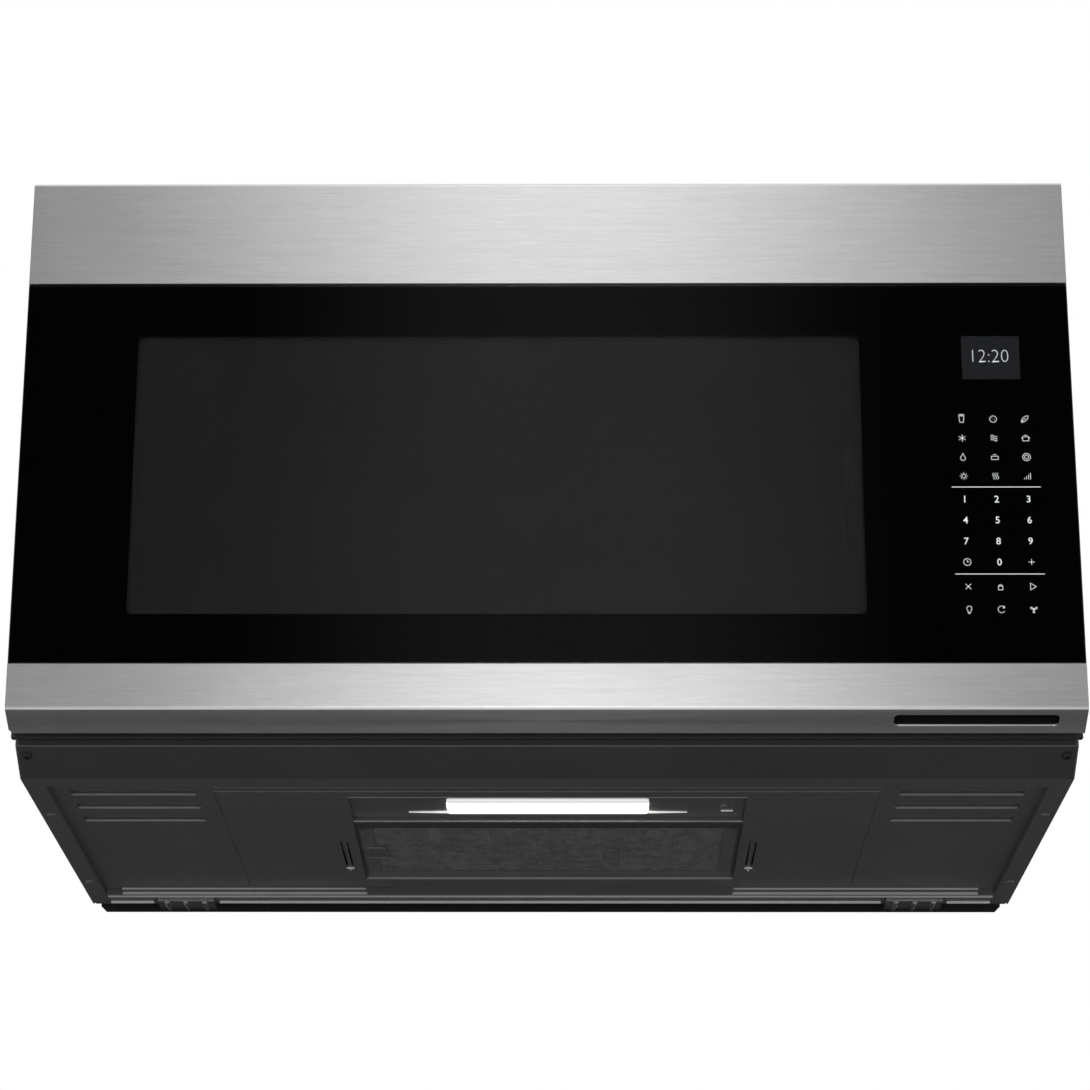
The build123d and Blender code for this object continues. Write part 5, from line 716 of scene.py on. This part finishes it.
# %% Text as a mesh
def text_mesh(bm, text, x, z, height, front, thin=0.0, width=None):
    """Adds text to a bmesh, centred on a point, facing the cook, squeezed to a width if given."""
    curve = bpy.data.curves.new("digits", "FONT")
    curve.body, curve.size, curve.align_x, curve.align_y = text, 1.0, "CENTER", "CENTER"
    curve.extrude, curve.resolution_u, curve.offset = 0.01, 3, thin
    holder = bpy.data.objects.new("digits", curve)
    bpy.context.scene.collection.objects.link(holder)
    bpy.context.view_layer.update()
    seen = holder.evaluated_get(bpy.context.evaluated_depsgraph_get())
    mesh = bpy.data.meshes.new_from_object(seen)
    (left, right), (low, high) = [
        (min(v.co[i] for v in mesh.vertices), max(v.co[i] for v in mesh.vertices)) for i in (0, 1)]
    up = height / (high - low)
    across = width / (right - left) if width else up
    for vert in mesh.vertices:
        vert.co = Vector((x + (vert.co.x - (left + right) / 2) * across, front - vert.co.z * 0.005,
                          z + (vert.co.y - (low + high) / 2) * up))
    bm.from_mesh(mesh)
    bpy.data.objects.remove(holder)
    bpy.data.curves.remove(curve)
    bpy.data.meshes.remove(mesh)


print("text helper ready")

# %% Clock and digits
COLUMNS = (0.2990, 0.3218, 0.3446)
DIGIT_ROWS = (("123", 0.1919), ("456", 0.1760), ("789", 0.1601), (" 0 ", 0.1443))
bm = bmesh.new()
fill_outline(bm, [display_outline], PANEL_FRONT, BACK)
panel = piece("display_panel", bm, DISPLAY, "door")

bm = bmesh.new()
text_mesh(bm, "12:20", COLUMNS[1], 0.3025, 0.0098, CLOCK_FRONT, thin=-0.022, width=0.0262)
clock = piece("display_digits", bm, PRINT, "door")

bm = bmesh.new()
for row, z in DIGIT_ROWS:
    for digit, x in zip(row, COLUMNS):
        if digit != " ":
            text_mesh(bm, digit, x, z, 0.0052, DIGIT_FRONT, thin=0.01)
key_digits = piece("key_digits", bm, PRINT, "door")
print("made:", panel.name, clock.name, key_digits.name, "faces:", len(key_digits.data.polygons))

# %% [markdown]
# The other keys carry small pictures instead of words, so that a cook of any language can read them.
# Each is drawn on a grid from 0 to 10 as a list of strokes, and a stroke is a list of points.

# %% Key pictures as strokes
def turned(cx, cz, points, angle):
    """Points given by radius and angle, turned about a centre."""
    return [(cx + r * math.cos(angle + t), cz + r * math.sin(angle + t)) for r, t in points]


BLADE = ((1, 0), (3, 0.35), (4.4, 0.1), (3.6, -0.35), (1, 0))
RAY = ((3.2, 0), (4.6, 0))
THIRDS, EIGHTHS = [[math.tau * i / count for i in range(count)] for count in (3, 8)]
ICONS = {
    "cup": [[(2, 9), (3, 1), (7, 1), (8, 9), (2, 9)], arc(3.5, 9.5, 1.5, 0, 180),
            arc(6.5, 9.5, 1.5, 0, 180)],
    "root": [arc(5, 5, 4, 0, 360), [(3.5, 5.5), (4, 6)], [(6, 4), (6.5, 4.5)]],
    "leaf": [arc(1, 9, 8, 270, 360), arc(9, 1, 8, 90, 180), [(1, 1), (6, 6)]],
    "flake": [[(5, 0.5), (5, 9.5)], [(1, 2.7), (9, 7.3)], [(1, 7.3), (9, 2.7)]],
    "waves": [[(1, z), (3, z + 1.3), (5, z), (7, z - 1.3), (9, z)] for z in (2.5, 5, 7.5)],
    "pot": [[(1.5, 6.5), (1.5, 1.5), (8.5, 1.5), (8.5, 6.5), (1.5, 6.5)], [(0, 5), (1.5, 5)],
            [(8.5, 5), (10, 5)], [(3, 8.3), (7, 8.3)]],
    "drop": [[(5, 9.5), (2.4, 4.6)] + arc(5, 3.6, 2.8, 160, 380) + [(5, 9.5)]],
    "bar": [[(1, 2), (9, 2), (9, 6), (1, 6), (1, 2)], [(3, 8), (7, 8)]],
    "plate": [arc(5, 5, 4.5, 0, 360, 18), arc(5, 5, 2.4, 0, 360)],
    "sun": [arc(5, 5, 2.2, 0, 360)] + [turned(5, 5, RAY, angle) for angle in EIGHTHS],
    "steam": [[(x, 1), (x + 1, 3.5), (x - 1, 6.5), (x, 9)] for x in (2.5, 5, 7.5)],
    "steps": [[(x, 1), (x, 2 + h)] for x, h in ((1.5, 1), (3.8, 3), (6.2, 5), (8.5, 7))],
    "clock": [arc(5, 5, 4.2, 0, 360, 18), [(5, 7.6), (5, 5), (7, 5)]],
    "plus": [[(5, 1.5), (5, 8.5)], [(1.5, 5), (8.5, 5)]],
    "stop": [[(1.8, 1.8), (8.2, 8.2)], [(1.8, 8.2), (8.2, 1.8)]],
    "lock": [[(2.5, 1), (7.5, 1), (7.5, 5.5), (2.5, 5.5), (2.5, 1)], arc(5, 5.5, 1.8, 0, 180)],
    "start": [[(2.5, 1), (2.5, 9), (8.8, 5), (2.5, 1)]],
    "lamp": [arc(5, 6, 3, -60, 240), [(3.5, 3.4), (3.5, 1), (6.5, 1), (6.5, 3.4)], [(4, 0), (6, 0)]],
    "turn": [arc(5, 5, 4, 30, 330, 16), [(8.2, 9), (8.5, 6.8), (6.2, 6.4)]],
    "fan": [arc(5, 5, 0.9, 0, 360)] + [turned(5, 5, BLADE, 0.5 + angle) for angle in THIRDS],
}
print("pictures:", len(ICONS))

# %% [markdown]
# A stroke becomes a ribbon: a flat line of even width that keeps its width round corners. A curve
# object could do this too, but the export wants plain meshes.

# %% Ribbons
def ribbon(bm, points, width, front, back, closed=False):
    """A flat line of even width through X and Z points."""
    count = len(points)
    sides = []
    for index, point in enumerate(points):
        here = Vector(point)
        before = Vector(points[index - 1]) if closed or index else here
        after = Vector(points[(index + 1) % count]) if closed or index < count - 1 else here
        first, second = (here - before), (after - here)
        first = first.normalized() if first.length else second.normalized()
        second = second.normalized() if second.length else first
        way = (first + second).normalized()
        reach = width / 2 / max(0.5, way.dot(first))
        normal = Vector((-way.y, way.x)) * reach
        sides.append((here + normal, here - normal))
    rings = [[bm.verts.new((p.x, depth, p.y)) for p in (a, b) for depth in (front, back)]
             for a, b in sides]
    pairs = list(zip(rings, rings[1:])) + ([(rings[-1], rings[0])] if closed else [])
    for one, two in pairs:
        for i, j in ((0, 1), (1, 3), (3, 2), (2, 0)):
            bm.faces.new((one[i], one[j], two[j], two[i]))
    if not closed:
        bm.faces.new([rings[0][i] for i in (0, 2, 3, 1)])
        bm.faces.new([rings[-1][i] for i in (1, 3, 2, 0)])


print("ribbon helper ready")

# %% Draw the key pictures
KEY_ROWS = (
    (0.2533, ("cup", "root", "leaf")), (0.2386, ("flake", "waves", "pot")),
    (0.2240, ("drop", "bar", "plate")), (0.2094, ("sun", "steam", "steps")),
    (0.1443, ("clock", None, "plus")), (0.1259, ("stop", "lock", "start")),
    (0.1089, ("lamp", "turn", "fan")),
)
ICON_SIZE, ICON_LINE, RULE_LINE, MARK_DEPTH = 0.0062, 0.00042, 0.0006, 0.00005
RULES, RULE_SPAN = (0.2011, 0.1353), (0.2900, 0.3536)


def draw_icon(bm, strokes, x, z):
    for stroke in strokes:
        closed = math.dist(stroke[0], stroke[-1]) < 0.01
        points = [(x + (u / 10 - 0.5) * ICON_SIZE, z + (v / 10 - 0.5) * ICON_SIZE) for u, v in stroke]
        ribbon(bm, points[:-1] if closed else points, ICON_LINE, ICON_FRONT, ICON_FRONT + MARK_DEPTH,
               closed)


bm = bmesh.new()
for z, names in KEY_ROWS:
    for name, x in zip(names, COLUMNS):
        if name:
            draw_icon(bm, ICONS[name], x, z)
for z in RULES:
    ribbon(bm, [(x, z) for x in RULE_SPAN], RULE_LINE, ICON_FRONT, ICON_FRONT + MARK_DEPTH)
key_marks = piece("key_pictures", bm, PRINT, "door")
print("key pictures:", len(ICONS), "faces:", len(key_marks.data.polygons))

# %% [markdown]
# ## Screws
#
# The solid model has plain pan heads. A real one is turned on a lathe and then gets a cross recess
# from a punch. The mesh is made the same way: an outline is spun about its axis, and a boolean cuts
# two crossed wedges out of it. One good head is enough, and every place gets a copy.

# %% A turned head and a cross to cut
def bmesh_to_mesh(bm, name):
    mesh = bpy.data.meshes.new(name)
    bm.to_mesh(mesh)
    bm.free()
    return mesh


def turned_head(radius, height):
    """A pan head that stands on Z = 0. The outline is in shares of its radius and height."""
    outline = ((0, 1), (0.45, 0.97), (0.78, 0.8), (0.94, 0.5), (1, 0.12), (0.97, 0), (0, 0))
    bm = bmesh.new()
    verts = [bm.verts.new((x * radius, 0, z * height)) for x, z in outline]
    edges = [bm.edges.new(pair) for pair in zip(verts, verts[1:])]
    bmesh.ops.spin(bm, geom=verts + edges, axis=(0, 0, 1), cent=(0, 0, 0), steps=32, angle=math.tau)
    bmesh.ops.remove_doubles(bm, verts=bm.verts[:], dist=radius * 0.001)
    bmesh.ops.recalc_face_normals(bm, faces=bm.faces[:])
    return bmesh_to_mesh(bm, "head")


def cross(radius, height):
    """Two crossed wedges, narrower at the bottom."""
    bm = bmesh.new()
    for angle in (0, 90):
        turn = Matrix.Rotation(math.radians(angle), 3, "Z")
        for vert in bmesh.ops.create_cube(bm, size=1.0)["verts"]:
            taper = 1.0 if vert.co.z > 0 else 0.6
            vert.co = turn @ Vector((vert.co.x * radius * 1.15 * taper, vert.co.y * radius * 0.26 * taper,
                                     height * (0.95 + vert.co.z * 1.1)))
    return bmesh_to_mesh(bm, "cross")


print("head outline and cross ready")

# %% Cut the recess
def screw_head(radius, height):
    holder = bpy.data.objects.new("head", turned_head(radius, height))
    tool = bpy.data.objects.new("cross", cross(radius, height))
    for item in (holder, tool):
        bpy.context.scene.collection.objects.link(item)
    cut = holder.modifiers.new("cut", "BOOLEAN")
    cut.object, cut.operation, cut.solver, cut.use_self = tool, "DIFFERENCE", "EXACT", True
    bpy.context.view_layer.update()
    seen = holder.evaluated_get(bpy.context.evaluated_depsgraph_get())
    mesh = bpy.data.meshes.new_from_object(seen)
    for item in (holder, tool):
        bpy.data.objects.remove(item)
    return mesh


HEAD = screw_head(0.0036, 0.0022)
print("head faces:", len(HEAD.polygons))

# %% Copies in their places
def place_heads(name, places, material, way):
    """Copies the head to each place, its top turned along the given way."""
    bm = bmesh.new()
    turn = Vector((0, 0, 1)).rotation_difference(Vector(way)).to_matrix().to_4x4()
    for number, place in enumerate(places):
        start = len(bm.verts)
        bm.from_mesh(HEAD)
        bm.verts.ensure_lookup_table()
        spin = Matrix.Rotation(0.5 + number * 1.1, 4, "Z")
        bmesh.ops.transform(bm, matrix=Matrix.Translation(Vector(place)) @ turn @ spin,
                            verts=bm.verts[start:])
    return piece(name, bm, material, "cabinet")


DOWN, OUT_OF_SLOPE = (0, 0, -1), Vector((0, -16.4, -28.3)).normalized()
SIDES = (-1, 1)
slope_places = [(side * 0.368, -0.41781, 0.01148) for side in SIDES]
rim_places = [(side * 0.367, y, 0.0) for side in SIDES for y in (-0.300, -0.090)]
slot_places = [(side * 0.1575, -0.1139, 0.0047) for side in SIDES]
screws = place_heads("slope_screws", slope_places, BLACK_PAINT, OUT_OF_SLOPE)
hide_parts("base_screws")
place_heads("rim_screws", rim_places, DARK_PAINT, DOWN)
place_heads("slot_screws", slot_places, TAB_STEEL, DOWN)
print("screws:", len(slope_places) + len(rim_places) + len(slot_places))

# %% [markdown]
# ## The grease filter's mesh
#
# The filter is a stack of expanded aluminium: a slit sheet pulled into diamonds, with each strand
# tilted. A pattern in the alpha would look flat from the side, and the strands do catch the light.
# So rings of one diamond are laid side by side, and a Solidify modifier gives them thickness.

# %% Expanded mesh
def join_rings(bm, one, two):
    """Faces between two rings of vertices that match one by one."""
    count = len(one)
    for k in range(count):
        bm.faces.new((one[k], one[(k + 1) % count], two[(k + 1) % count], two[k]))


def expanded_layer(bm, level, cell, strand):
    """Rows of diamond rings. A strand takes its share of the diamond, and its tips tilt."""
    wide, tall = cell
    for row in range(1, int((mesh_high.y - mesh_low.y) / (tall / 2))):
        y = mesh_low.y + row * tall / 2
        for column in range(int((mesh_high.x - mesh_low.x) / wide)):
            x = mesh_low.x + (column + (1.0 if row % 2 else 0.5)) * wide
            if x + wide / 2 > mesh_high.x:
                continue
            centre = Vector((x, y, level))
            reach = [Vector(way) for way in ((wide / 2, 0, 0), (0, tall / 2, 0), (-wide / 2, 0, 0),
                                             (0, -tall / 2, 0))]
            tilts = [Vector((0, 0, tilt)) for tilt in (0, STRAND_TILT, 0, -STRAND_TILT)]
            outer = [bm.verts.new(centre + way) for way in reach]
            inner = [bm.verts.new(centre + way * (1 - strand) + tilt) for way, tilt in zip(reach, tilts)]
            join_rings(bm, outer, inner)


def solidify(item, thickness):
    thick = item.modifiers.new("thickness", "SOLIDIFY")
    thick.thickness, thick.offset = thickness, 0.0


mesh_low, mesh_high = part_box("filter_mesh")
STRAND_TILT = 0.0004
bm = bmesh.new()
expanded_layer(bm, mesh_low.z + 0.0006, (0.0064, 0.0034), 0.34)
expanded_layer(bm, mesh_low.z + 0.0022, (0.0048, 0.0085), 0.36)
bmesh.ops.remove_doubles(bm, verts=bm.verts[:], dist=0.00002)
mesh_piece = piece("filter_strands", bm, ALUMINIUM, "grease_filter")
solidify(mesh_piece, 0.0003)
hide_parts("filter_mesh")
print("strand faces:", len(mesh_piece.data.polygons))

# %% [markdown]
# Deeper in the stack more layers close the view. Nobody can tell them apart, so one thin wavy sheet
# stands for them all and keeps the eye from looking through.

# %% Backing sheet of the filter
WAVE_HEIGHT, WAVES = 0.0003, (900, 760)
mesh_size = mesh_high - mesh_low
bm = bmesh.new()
for vert in bmesh.ops.create_grid(bm, x_segments=60, y_segments=36, size=0.5)["verts"]:
    x = mesh_low.x + (vert.co.x + 0.5) * mesh_size.x
    y = mesh_low.y + (vert.co.y + 0.5) * mesh_size.y
    lift = WAVE_HEIGHT * math.sin(x * WAVES[0]) * math.sin(y * WAVES[1])
    vert.co = Vector((x, y, mesh_high.z - 0.0008 + lift))
backing = piece("filter_backing", bm, ALUMINIUM, "grease_filter", smooth=True)
solidify(backing, 0.0004)
print("backing faces:", len(backing.data.polygons))

# %% [markdown]
# ## Pressed steps and other bars
#
# Behind the recessed floor two pressed steps run down to the rear rail on each side. Their slopes catch
# the light as two bright lines, and a thin lip stands up at the pan's front. A texture could paint the
# lines, but only a real slope brightens and darkens with the view; the slopes still wear the lighter paint
# of a painted highlight, and the lip's black is painted shade. Each is a bar with its own outline, drawn
# in Y and Z in millimetres and pushed along X.

# %% Prisms
def prism(bm, near, far):
    """Closes the space between two rings of points, given in millimetres."""
    rings = [[bm.verts.new([v * MM for v in point]) for point in ring] for ring in (near, far)]
    join_rings(bm, *rings)
    bm.faces.new(rings[0][::-1])
    bm.faces.new(rings[1])


def bar(bm, outline, x0, x1):
    """Pushes an outline of Y and Z points from one X to another."""
    prism(bm, *[[(x, y, z) for y, z in outline] for x in (x0, x1)])


def plate(bm, outline, z0, z1):
    """Pushes an outline of X and Y points from one Z to another."""
    prism(bm, *[[(x, y, z) for x, y in outline] for z in (z0, z1)])


print("prism helpers ready")

# %% Front lip and rear steps
bm = bmesh.new()
bar(bm, [(-426.55, 16.9), (-426.55, 20.9), (-426.2, 21.1), (-426.2, 16.9)], -373.0, 373.0)
# The lip's black is painted shade: it stands in the door's shade.
pan_lip = piece("pan_front_lip", bm, BLACK_PAINT, "cabinet")

STEP_INNER, STEP_OUTER = 148.0, 347.0
SOLID_STEP_OUTER, FILTER_SIDE = 297.0, 122.0
STEP_FILL = [(-53.0, 4.7), (-50.0, 2.6), (-47.0, 2.6), (-43.2, 0.0), (-43.0, 4.8), (-53.0, 4.8)]
RAIL_FILL = [(-76.1, 4.8), (-76.1, 0.5), (-75.5, -0.05), (-43.0, -0.05), (-43.0, 4.8)]
SLOPES = ([(-52.6, 4.7), (-50.1, 2.4), (-49.7, 2.6), (-49.7, 4.7)],
          [(-46.4, 2.4), (-43.6, -0.15), (-43.1, 0.05), (-43.1, 2.7), (-46.4, 2.7)])
ends, slopes = bmesh.new(), bmesh.new()
for side in SIDES:
    bar(ends, STEP_FILL, *sorted((side * SOLID_STEP_OUTER, side * STEP_OUTER)))
    bar(ends, RAIL_FILL, *sorted((side * FILTER_SIDE, side * STEP_INNER)))
    for outline in SLOPES:
        bar(slopes, outline, *sorted((side * STEP_INNER, side * STEP_OUTER)))
step_ends = piece("rear_step_ends", ends, DARK_PAINT, "cabinet")
# The slopes wear the lighter paint of a painted highlight.
step_slopes = piece("rear_step_slopes", slopes, PAINTED_HIGHLIGHT_PAINT, "cabinet")
print("steps:", pan_lip.name, step_ends.name, step_slopes.name)

# %% [markdown]
# ## The filter's rolled rim
#
# The frame's sheet is rolled inwards over the edge of the mesh, which leaves a round shoulder. Five
# rectangles, each smaller and higher than the last along a quarter of a sine, give that shoulder. Two
# more close the piece at its back.

# %% Rolled rim
RIM_OUTER, RIM_INNER = (-142.0, 142.0, -243.8, -88.0), (-134.0, 134.0, -229.0, -92.0)
RIM_LEVEL, RIM_RISE, RIM_BACK, RIM_STEPS = 6.25, 1.3, 8.5, 4


def rim_corners(share):
    """The rim's rectangle at a share of the way in, as X and Y in millimetres."""
    x0, x1, y0, y1 = [a + (b - a) * share for a, b in zip(RIM_OUTER, RIM_INNER)]
    return ((x0, y0), (x1, y0), (x1, y1), (x0, y1))


rings = []
for step in range(RIM_STEPS + 1):
    share = step / RIM_STEPS
    rings.append((rim_corners(share), RIM_LEVEL + RIM_RISE * math.sin(share * math.pi / 2)))
rings += [(rim_corners(1.0), RIM_BACK), (rim_corners(0.0), RIM_BACK)]
bm = bmesh.new()
rows = [[bm.verts.new((x * MM, y * MM, level * MM)) for x, y in corners] for corners, level in rings]
for one, two in zip(rows, rows[1:] + rows[:1]):
    join_rings(bm, one, two)
rim = piece("filter_rolled_rim", bm, RIM_ALUMINIUM, "grease_filter")
print("rim faces:", len(rim.data.polygons))

# %% [markdown]
# ## Tongues, painted lamp spill and catch
#
# A thin tongue hangs in each of the two slots beside the filter. At both ends of the lens the lamp's light
# spills onto the wall behind it, and two pointed wedges that glow with the lens's finish paint that light.
# A small bright catch sits at the right of the cover. They are flat, so an outline pushed to its thickness
# is all they need.

# %% Spring tongues, painted lamp spill and cover catch
SLOT_X, TONGUE_FRONT, TONGUE_REAR = 157.5, -195.0, -121.5
SPILL_OUTLINE = ((74.0, -277.5), (74.0, -273.0), (104.0, -275.6))
tongue_bm, spill_bm, catch_bm = bmesh.new(), bmesh.new(), bmesh.new()
for side in SIDES:
    slot = side * SLOT_X
    plate(tongue_bm, [(slot - 1.3, TONGUE_REAR), (slot + 1.3, TONGUE_REAR), (slot + 2.0, TONGUE_FRONT),
                      (slot - 2.0, TONGUE_FRONT)], 5.1, 5.8)
    plate(spill_bm, [(side * x, y) for x, y in SPILL_OUTLINE], 7.4, 8.2)
bar(catch_bm, [(-280.0, 8.2), (-279.6, 7.3), (-278.2, 7.1), (-277.6, 8.2)], 129.0, 138.0)
tongues = piece("slot_tongues", tongue_bm, DARK_PAINT, "cabinet")
# Painted light: two glowing wedges stand for the lamp's light spilling at the ends of the lens.
lamp_spill = piece("lens_light_spill", spill_bm, LENS, "light_cover")
catch = piece("cover_catch", catch_bm, TAB_STEEL, "light_cover")
print("flat pieces:", tongues.name, lamp_spill.name, catch.name)

# %% [markdown]
# ## Edges that catch the light
#
# A folded or moulded edge is never a knife edge. A small bevel modifier on the solids that show rounds
# their edges without touching the solids themselves, so the model stays exact. Widths are in
# millimetres.

# %% Soft edges
SOFT_EDGES = {"front_frame": 0.4, "base_pan": 0.6, "light_cover": 0.3, "corner_caps": 0.4,
              "wall_plate": 0.4, "wall_hooks": 0.4, "filter_frame": 0.5, "handle_pocket": 0.3,
              "choke_cover": 0.3, "outer_wrapper": 0.2, "door_body": 0.3}
for node_name, width in SOFT_EDGES.items():
    soft = nodes[node_name].modifiers.new("soft_edge", "BEVEL")
    soft.width, soft.segments, soft.limit_method = width * MM, 2, "ANGLE"
    soft.angle_limit, soft.use_clamp_overlap, soft.harden_normals = math.radians(35), True, True
print("soft edges:", len(SOFT_EDGES))

# %% [markdown]
# ## Studio
#
# The oven hangs on a wall, and the photographer stood low and looked up. Everything around it is
# white, to the camera, to metal and to glass. A white room of planes could do that, but a white world
# has no corners to hide. It lights dull surfaces a little less than it shows itself, which keeps the
# paint dark.

# %% World
world = bpy.data.worlds.new("white_studio")
bpy.context.scene.world = world
world.use_nodes = True
sky = world.node_tree
path = add(sky, "LightPath").outputs
seen = math_node(sky, "MAXIMUM", path["Is Camera Ray"], path["Is Glossy Ray"])
seen = math_node(sky, "MAXIMUM", seen, path["Is Transmission Ray"])
background = sky.nodes["Background"]
background.inputs["Color"].default_value = (1, 1, 1, 1)
feed(sky, background.inputs["Strength"], mix(sky, seen, 0.88, 1.0, "FLOAT"))
print("world ready")

# %% [markdown]
# The floor lies well below the oven and is pale. Its alpha is 0 on its underside, so that a view from
# under the floor still shows the oven.

# %% Floor
FLOOR, FLOOR_HALF = -1.40, 8


def stage_plane(name, low, high):
    """A flat rectangle between two corners, which share X, Y or Z, with a material of its own."""
    flat = [i for i in range(3) if low[i] == high[i]][0]
    first, second = [i for i in range(3) if i != flat]
    bm = bmesh.new()
    corners = []
    for a, b in ((0, 0), (1, 0), (1, 1), (0, 1)):
        place = [0.0, 0.0, 0.0]
        place[flat], place[first], place[second] = low[flat], (low, high)[a][first], (low, high)[b][second]
        corners.append(bm.verts.new(place))
    bm.faces.new(corners)
    made = bpy.data.objects.new(name, bmesh_to_mesh(bm, name))
    bpy.context.scene.collection.objects.link(made)
    material, tree, shader = blank(name)
    made.data.materials.append(material)
    return made, tree, shader


floor, tree, shader = stage_plane("studio_floor", (-FLOOR_HALF, -FLOOR_HALF, FLOOR),
                                  (FLOOR_HALF, FLOOR_HALF, FLOOR))
floor.visible_glossy = False
cloud = placed(tree, SMUDGE, Scale=2.0)
pale = mix(tree, cloud.outputs["Value"], (0.86, 0.86, 0.86, 1), (0.90, 0.90, 0.90, 1))
feed(tree, shader.inputs["Base Color"], pale)
shader.inputs["Roughness"].default_value = 0.9
below = add(tree, "NewGeometry").outputs["Backfacing"]
feed(tree, shader.inputs["Alpha"], math_node(tree, "SUBTRACT", 1.0, below))
print("floor at", FLOOR)

# %% [markdown]
# A photographer of polished things hangs cards where the surfaces mirror them: a black flag keeps the
# door's glass black, and a card that is bright in its middle gives the steel its soft glow. The cards
# here are planes that only reflected and refracted rays can see, so they never stand in a picture
# themselves.
#
# Where they hang follows from the mirror law. From the camera the glass mirrors what lies in front at
# a height of 1.2 to 2.0 metres, four metres away, and the steel bands mirror the strips just over and
# under that. A card's brightness is written as a function of its own coordinates.

# %% Cards
def new_card(name, low, high):
    """A plane that only reflection and refraction show. Gives back its tree, shader and X, Y, Z."""
    card, tree, shader = stage_plane(name, low, high)
    set_sockets(shader, {"Base_Color": (0, 0, 0, 1), "Specular_IOR_Level": 0.0,
                         "Emission_Strength": 1.0})
    card.visible_camera = card.visible_diffuse = card.visible_shadow = False
    place = add(tree, "TexCoord").outputs["Object"]
    return tree, shader, add(tree, "SeparateXYZ", Vector=place).outputs


def glow_with(tree, shader, level):
    tint = add(tree, "CombineColor", _0=level, _1=level, _2=level)
    feed(tree, shader.inputs["Emission Color"], tint.outputs[0])


def times(tree, first, second):
    return math_node(tree, "MULTIPLY", first, second)


print("card helpers ready")

# %% [markdown]
# The front card. Its glow falls off to both sides of the middle. Under 1.3 m, where the lower band
# looks, it is a quarter brighter and falls off sooner. The flag is a dark window in the glow, with
# soft edges and a faint haze in its middle.

# %% Front card
CARD_Y, CARD_MIDDLE = -4.2, 0.01
tree, shader, (x, _, z) = new_card("front_card", (-4.5, CARD_Y, FLOOR), (4.5, CARD_Y, 5.5))
side = math_node(tree, "ABSOLUTE", math_node(tree, "SUBTRACT", x, CARD_MIDDLE))
narrowed = times(tree, side, spread(tree, z, 1.30, 1.15, 1.0, 1.34))
glow = spread(tree, narrowed, 0.03, 1.06, 1.82, 0.25, smooth=True)
glow = times(tree, glow, spread(tree, z, 1.30, 1.15, 1.0, 1.25))
glow = times(tree, glow, spread(tree, side, 0.0, 0.45, 1.09, 0.90, smooth=True))
glow = times(tree, glow, spread(tree, side, 0.65, 1.05, 1.0, 1.14, smooth=True))
flag_height = times(tree, spread(tree, z, 1.195, 1.225), spread(tree, z, 2.06, 2.00))
flag = times(tree, flag_height, spread(tree, side, 1.6, 1.3))
haze = spread(tree, side, 0.1, 0.7, 0.112, 0.012, smooth=True)
glow_with(tree, shader, mix(tree, flag, glow, haze, "FLOAT"))
print("front card at", CARD_Y)

# %% [markdown]
# The low card lies on the floor. In front of the oven it is bright, for the chamfer of the lower band.
# From under the oven to far behind it, it is nearly black, because the underside would otherwise
# mirror the white horizon.

# %% Low card
LOW_CARD_Z, LOW_CARD_REAR = FLOOR + 0.01, 40
tree, shader, (x, y, _) = new_card("low_card", (-8, CARD_Y, LOW_CARD_Z), (8, LOW_CARD_REAR, LOW_CARD_Z))
near = spread(tree, math_node(tree, "ABSOLUTE", x), 0.05, 1.3, 0.9, 0.55, smooth=True)
under = spread(tree, y, 0.8, 2.2, 0.09, 0.03, smooth=True)
change = spread(tree, y, -0.90, -0.45, smooth=True)
glow_with(tree, shader, mix(tree, change, near, under, "FLOAT"))
print("low card to", LOW_CARD_REAR)

# %% [markdown]
# One large soft light stands in front, a little left. It fills the shadows of the painted pieces, and
# reflections don't show it, because the cards already shape those.

# %% Softbox
light = bpy.data.lights.new("front_softbox", "AREA")
light.shape, light.size, light.energy = "SQUARE", 2.2, 30
softbox = bpy.data.objects.new("front_softbox", light)
softbox.location = (-0.8, -3.6, 1.9)
aim = Vector((0, -0.25, 0.2)) - softbox.location
softbox.rotation_euler = aim.to_track_quat("-Z", "Y").to_euler()
softbox.visible_glossy = softbox.visible_transmission = False
bpy.context.scene.collection.objects.link(softbox)
print("softbox:", light.energy, "W")

# %% [markdown]
# ## Camera
#
# The camera stands where the photographer stood. Its place, tilt and focal length were worked out
# from the photo's vanishing points. The focal length is in pixels of the photo, and the lens in
# millimetres follows from it and the sensor's width.

# %% Camera
PHOTO_SIZE, FOCAL_PIXELS, SENSOR_WIDTH = 1090, 3360.5, 36.0
CAMERA_PLACE = (0.01812, -2.71224, -0.63389)
YAW, PITCH, ROLL, UPRIGHT = [math.radians(angle) for angle in (0.4877, 19.297, -0.1312, 90)]
camera_data = bpy.data.cameras.new("photo_camera")
camera_data.sensor_width = SENSOR_WIDTH
camera_data.lens = FOCAL_PIXELS / PHOTO_SIZE * SENSOR_WIDTH
camera_data.clip_end = 50
camera = bpy.data.objects.new("photo_camera", camera_data)
turn = (Matrix.Rotation(YAW, 4, "Z") @ Matrix.Rotation(PITCH, 4, "X")
        @ Matrix.Rotation(ROLL, 4, "Y") @ Matrix.Rotation(UPRIGHT, 4, "X"))
camera.matrix_world = Matrix.Translation(CAMERA_PLACE) @ turn
bpy.context.scene.collection.objects.link(camera)
bpy.context.scene.camera = camera
bpy.context.scene.view_settings.view_transform = "Standard"
print("lens:", round(camera_data.lens, 2))
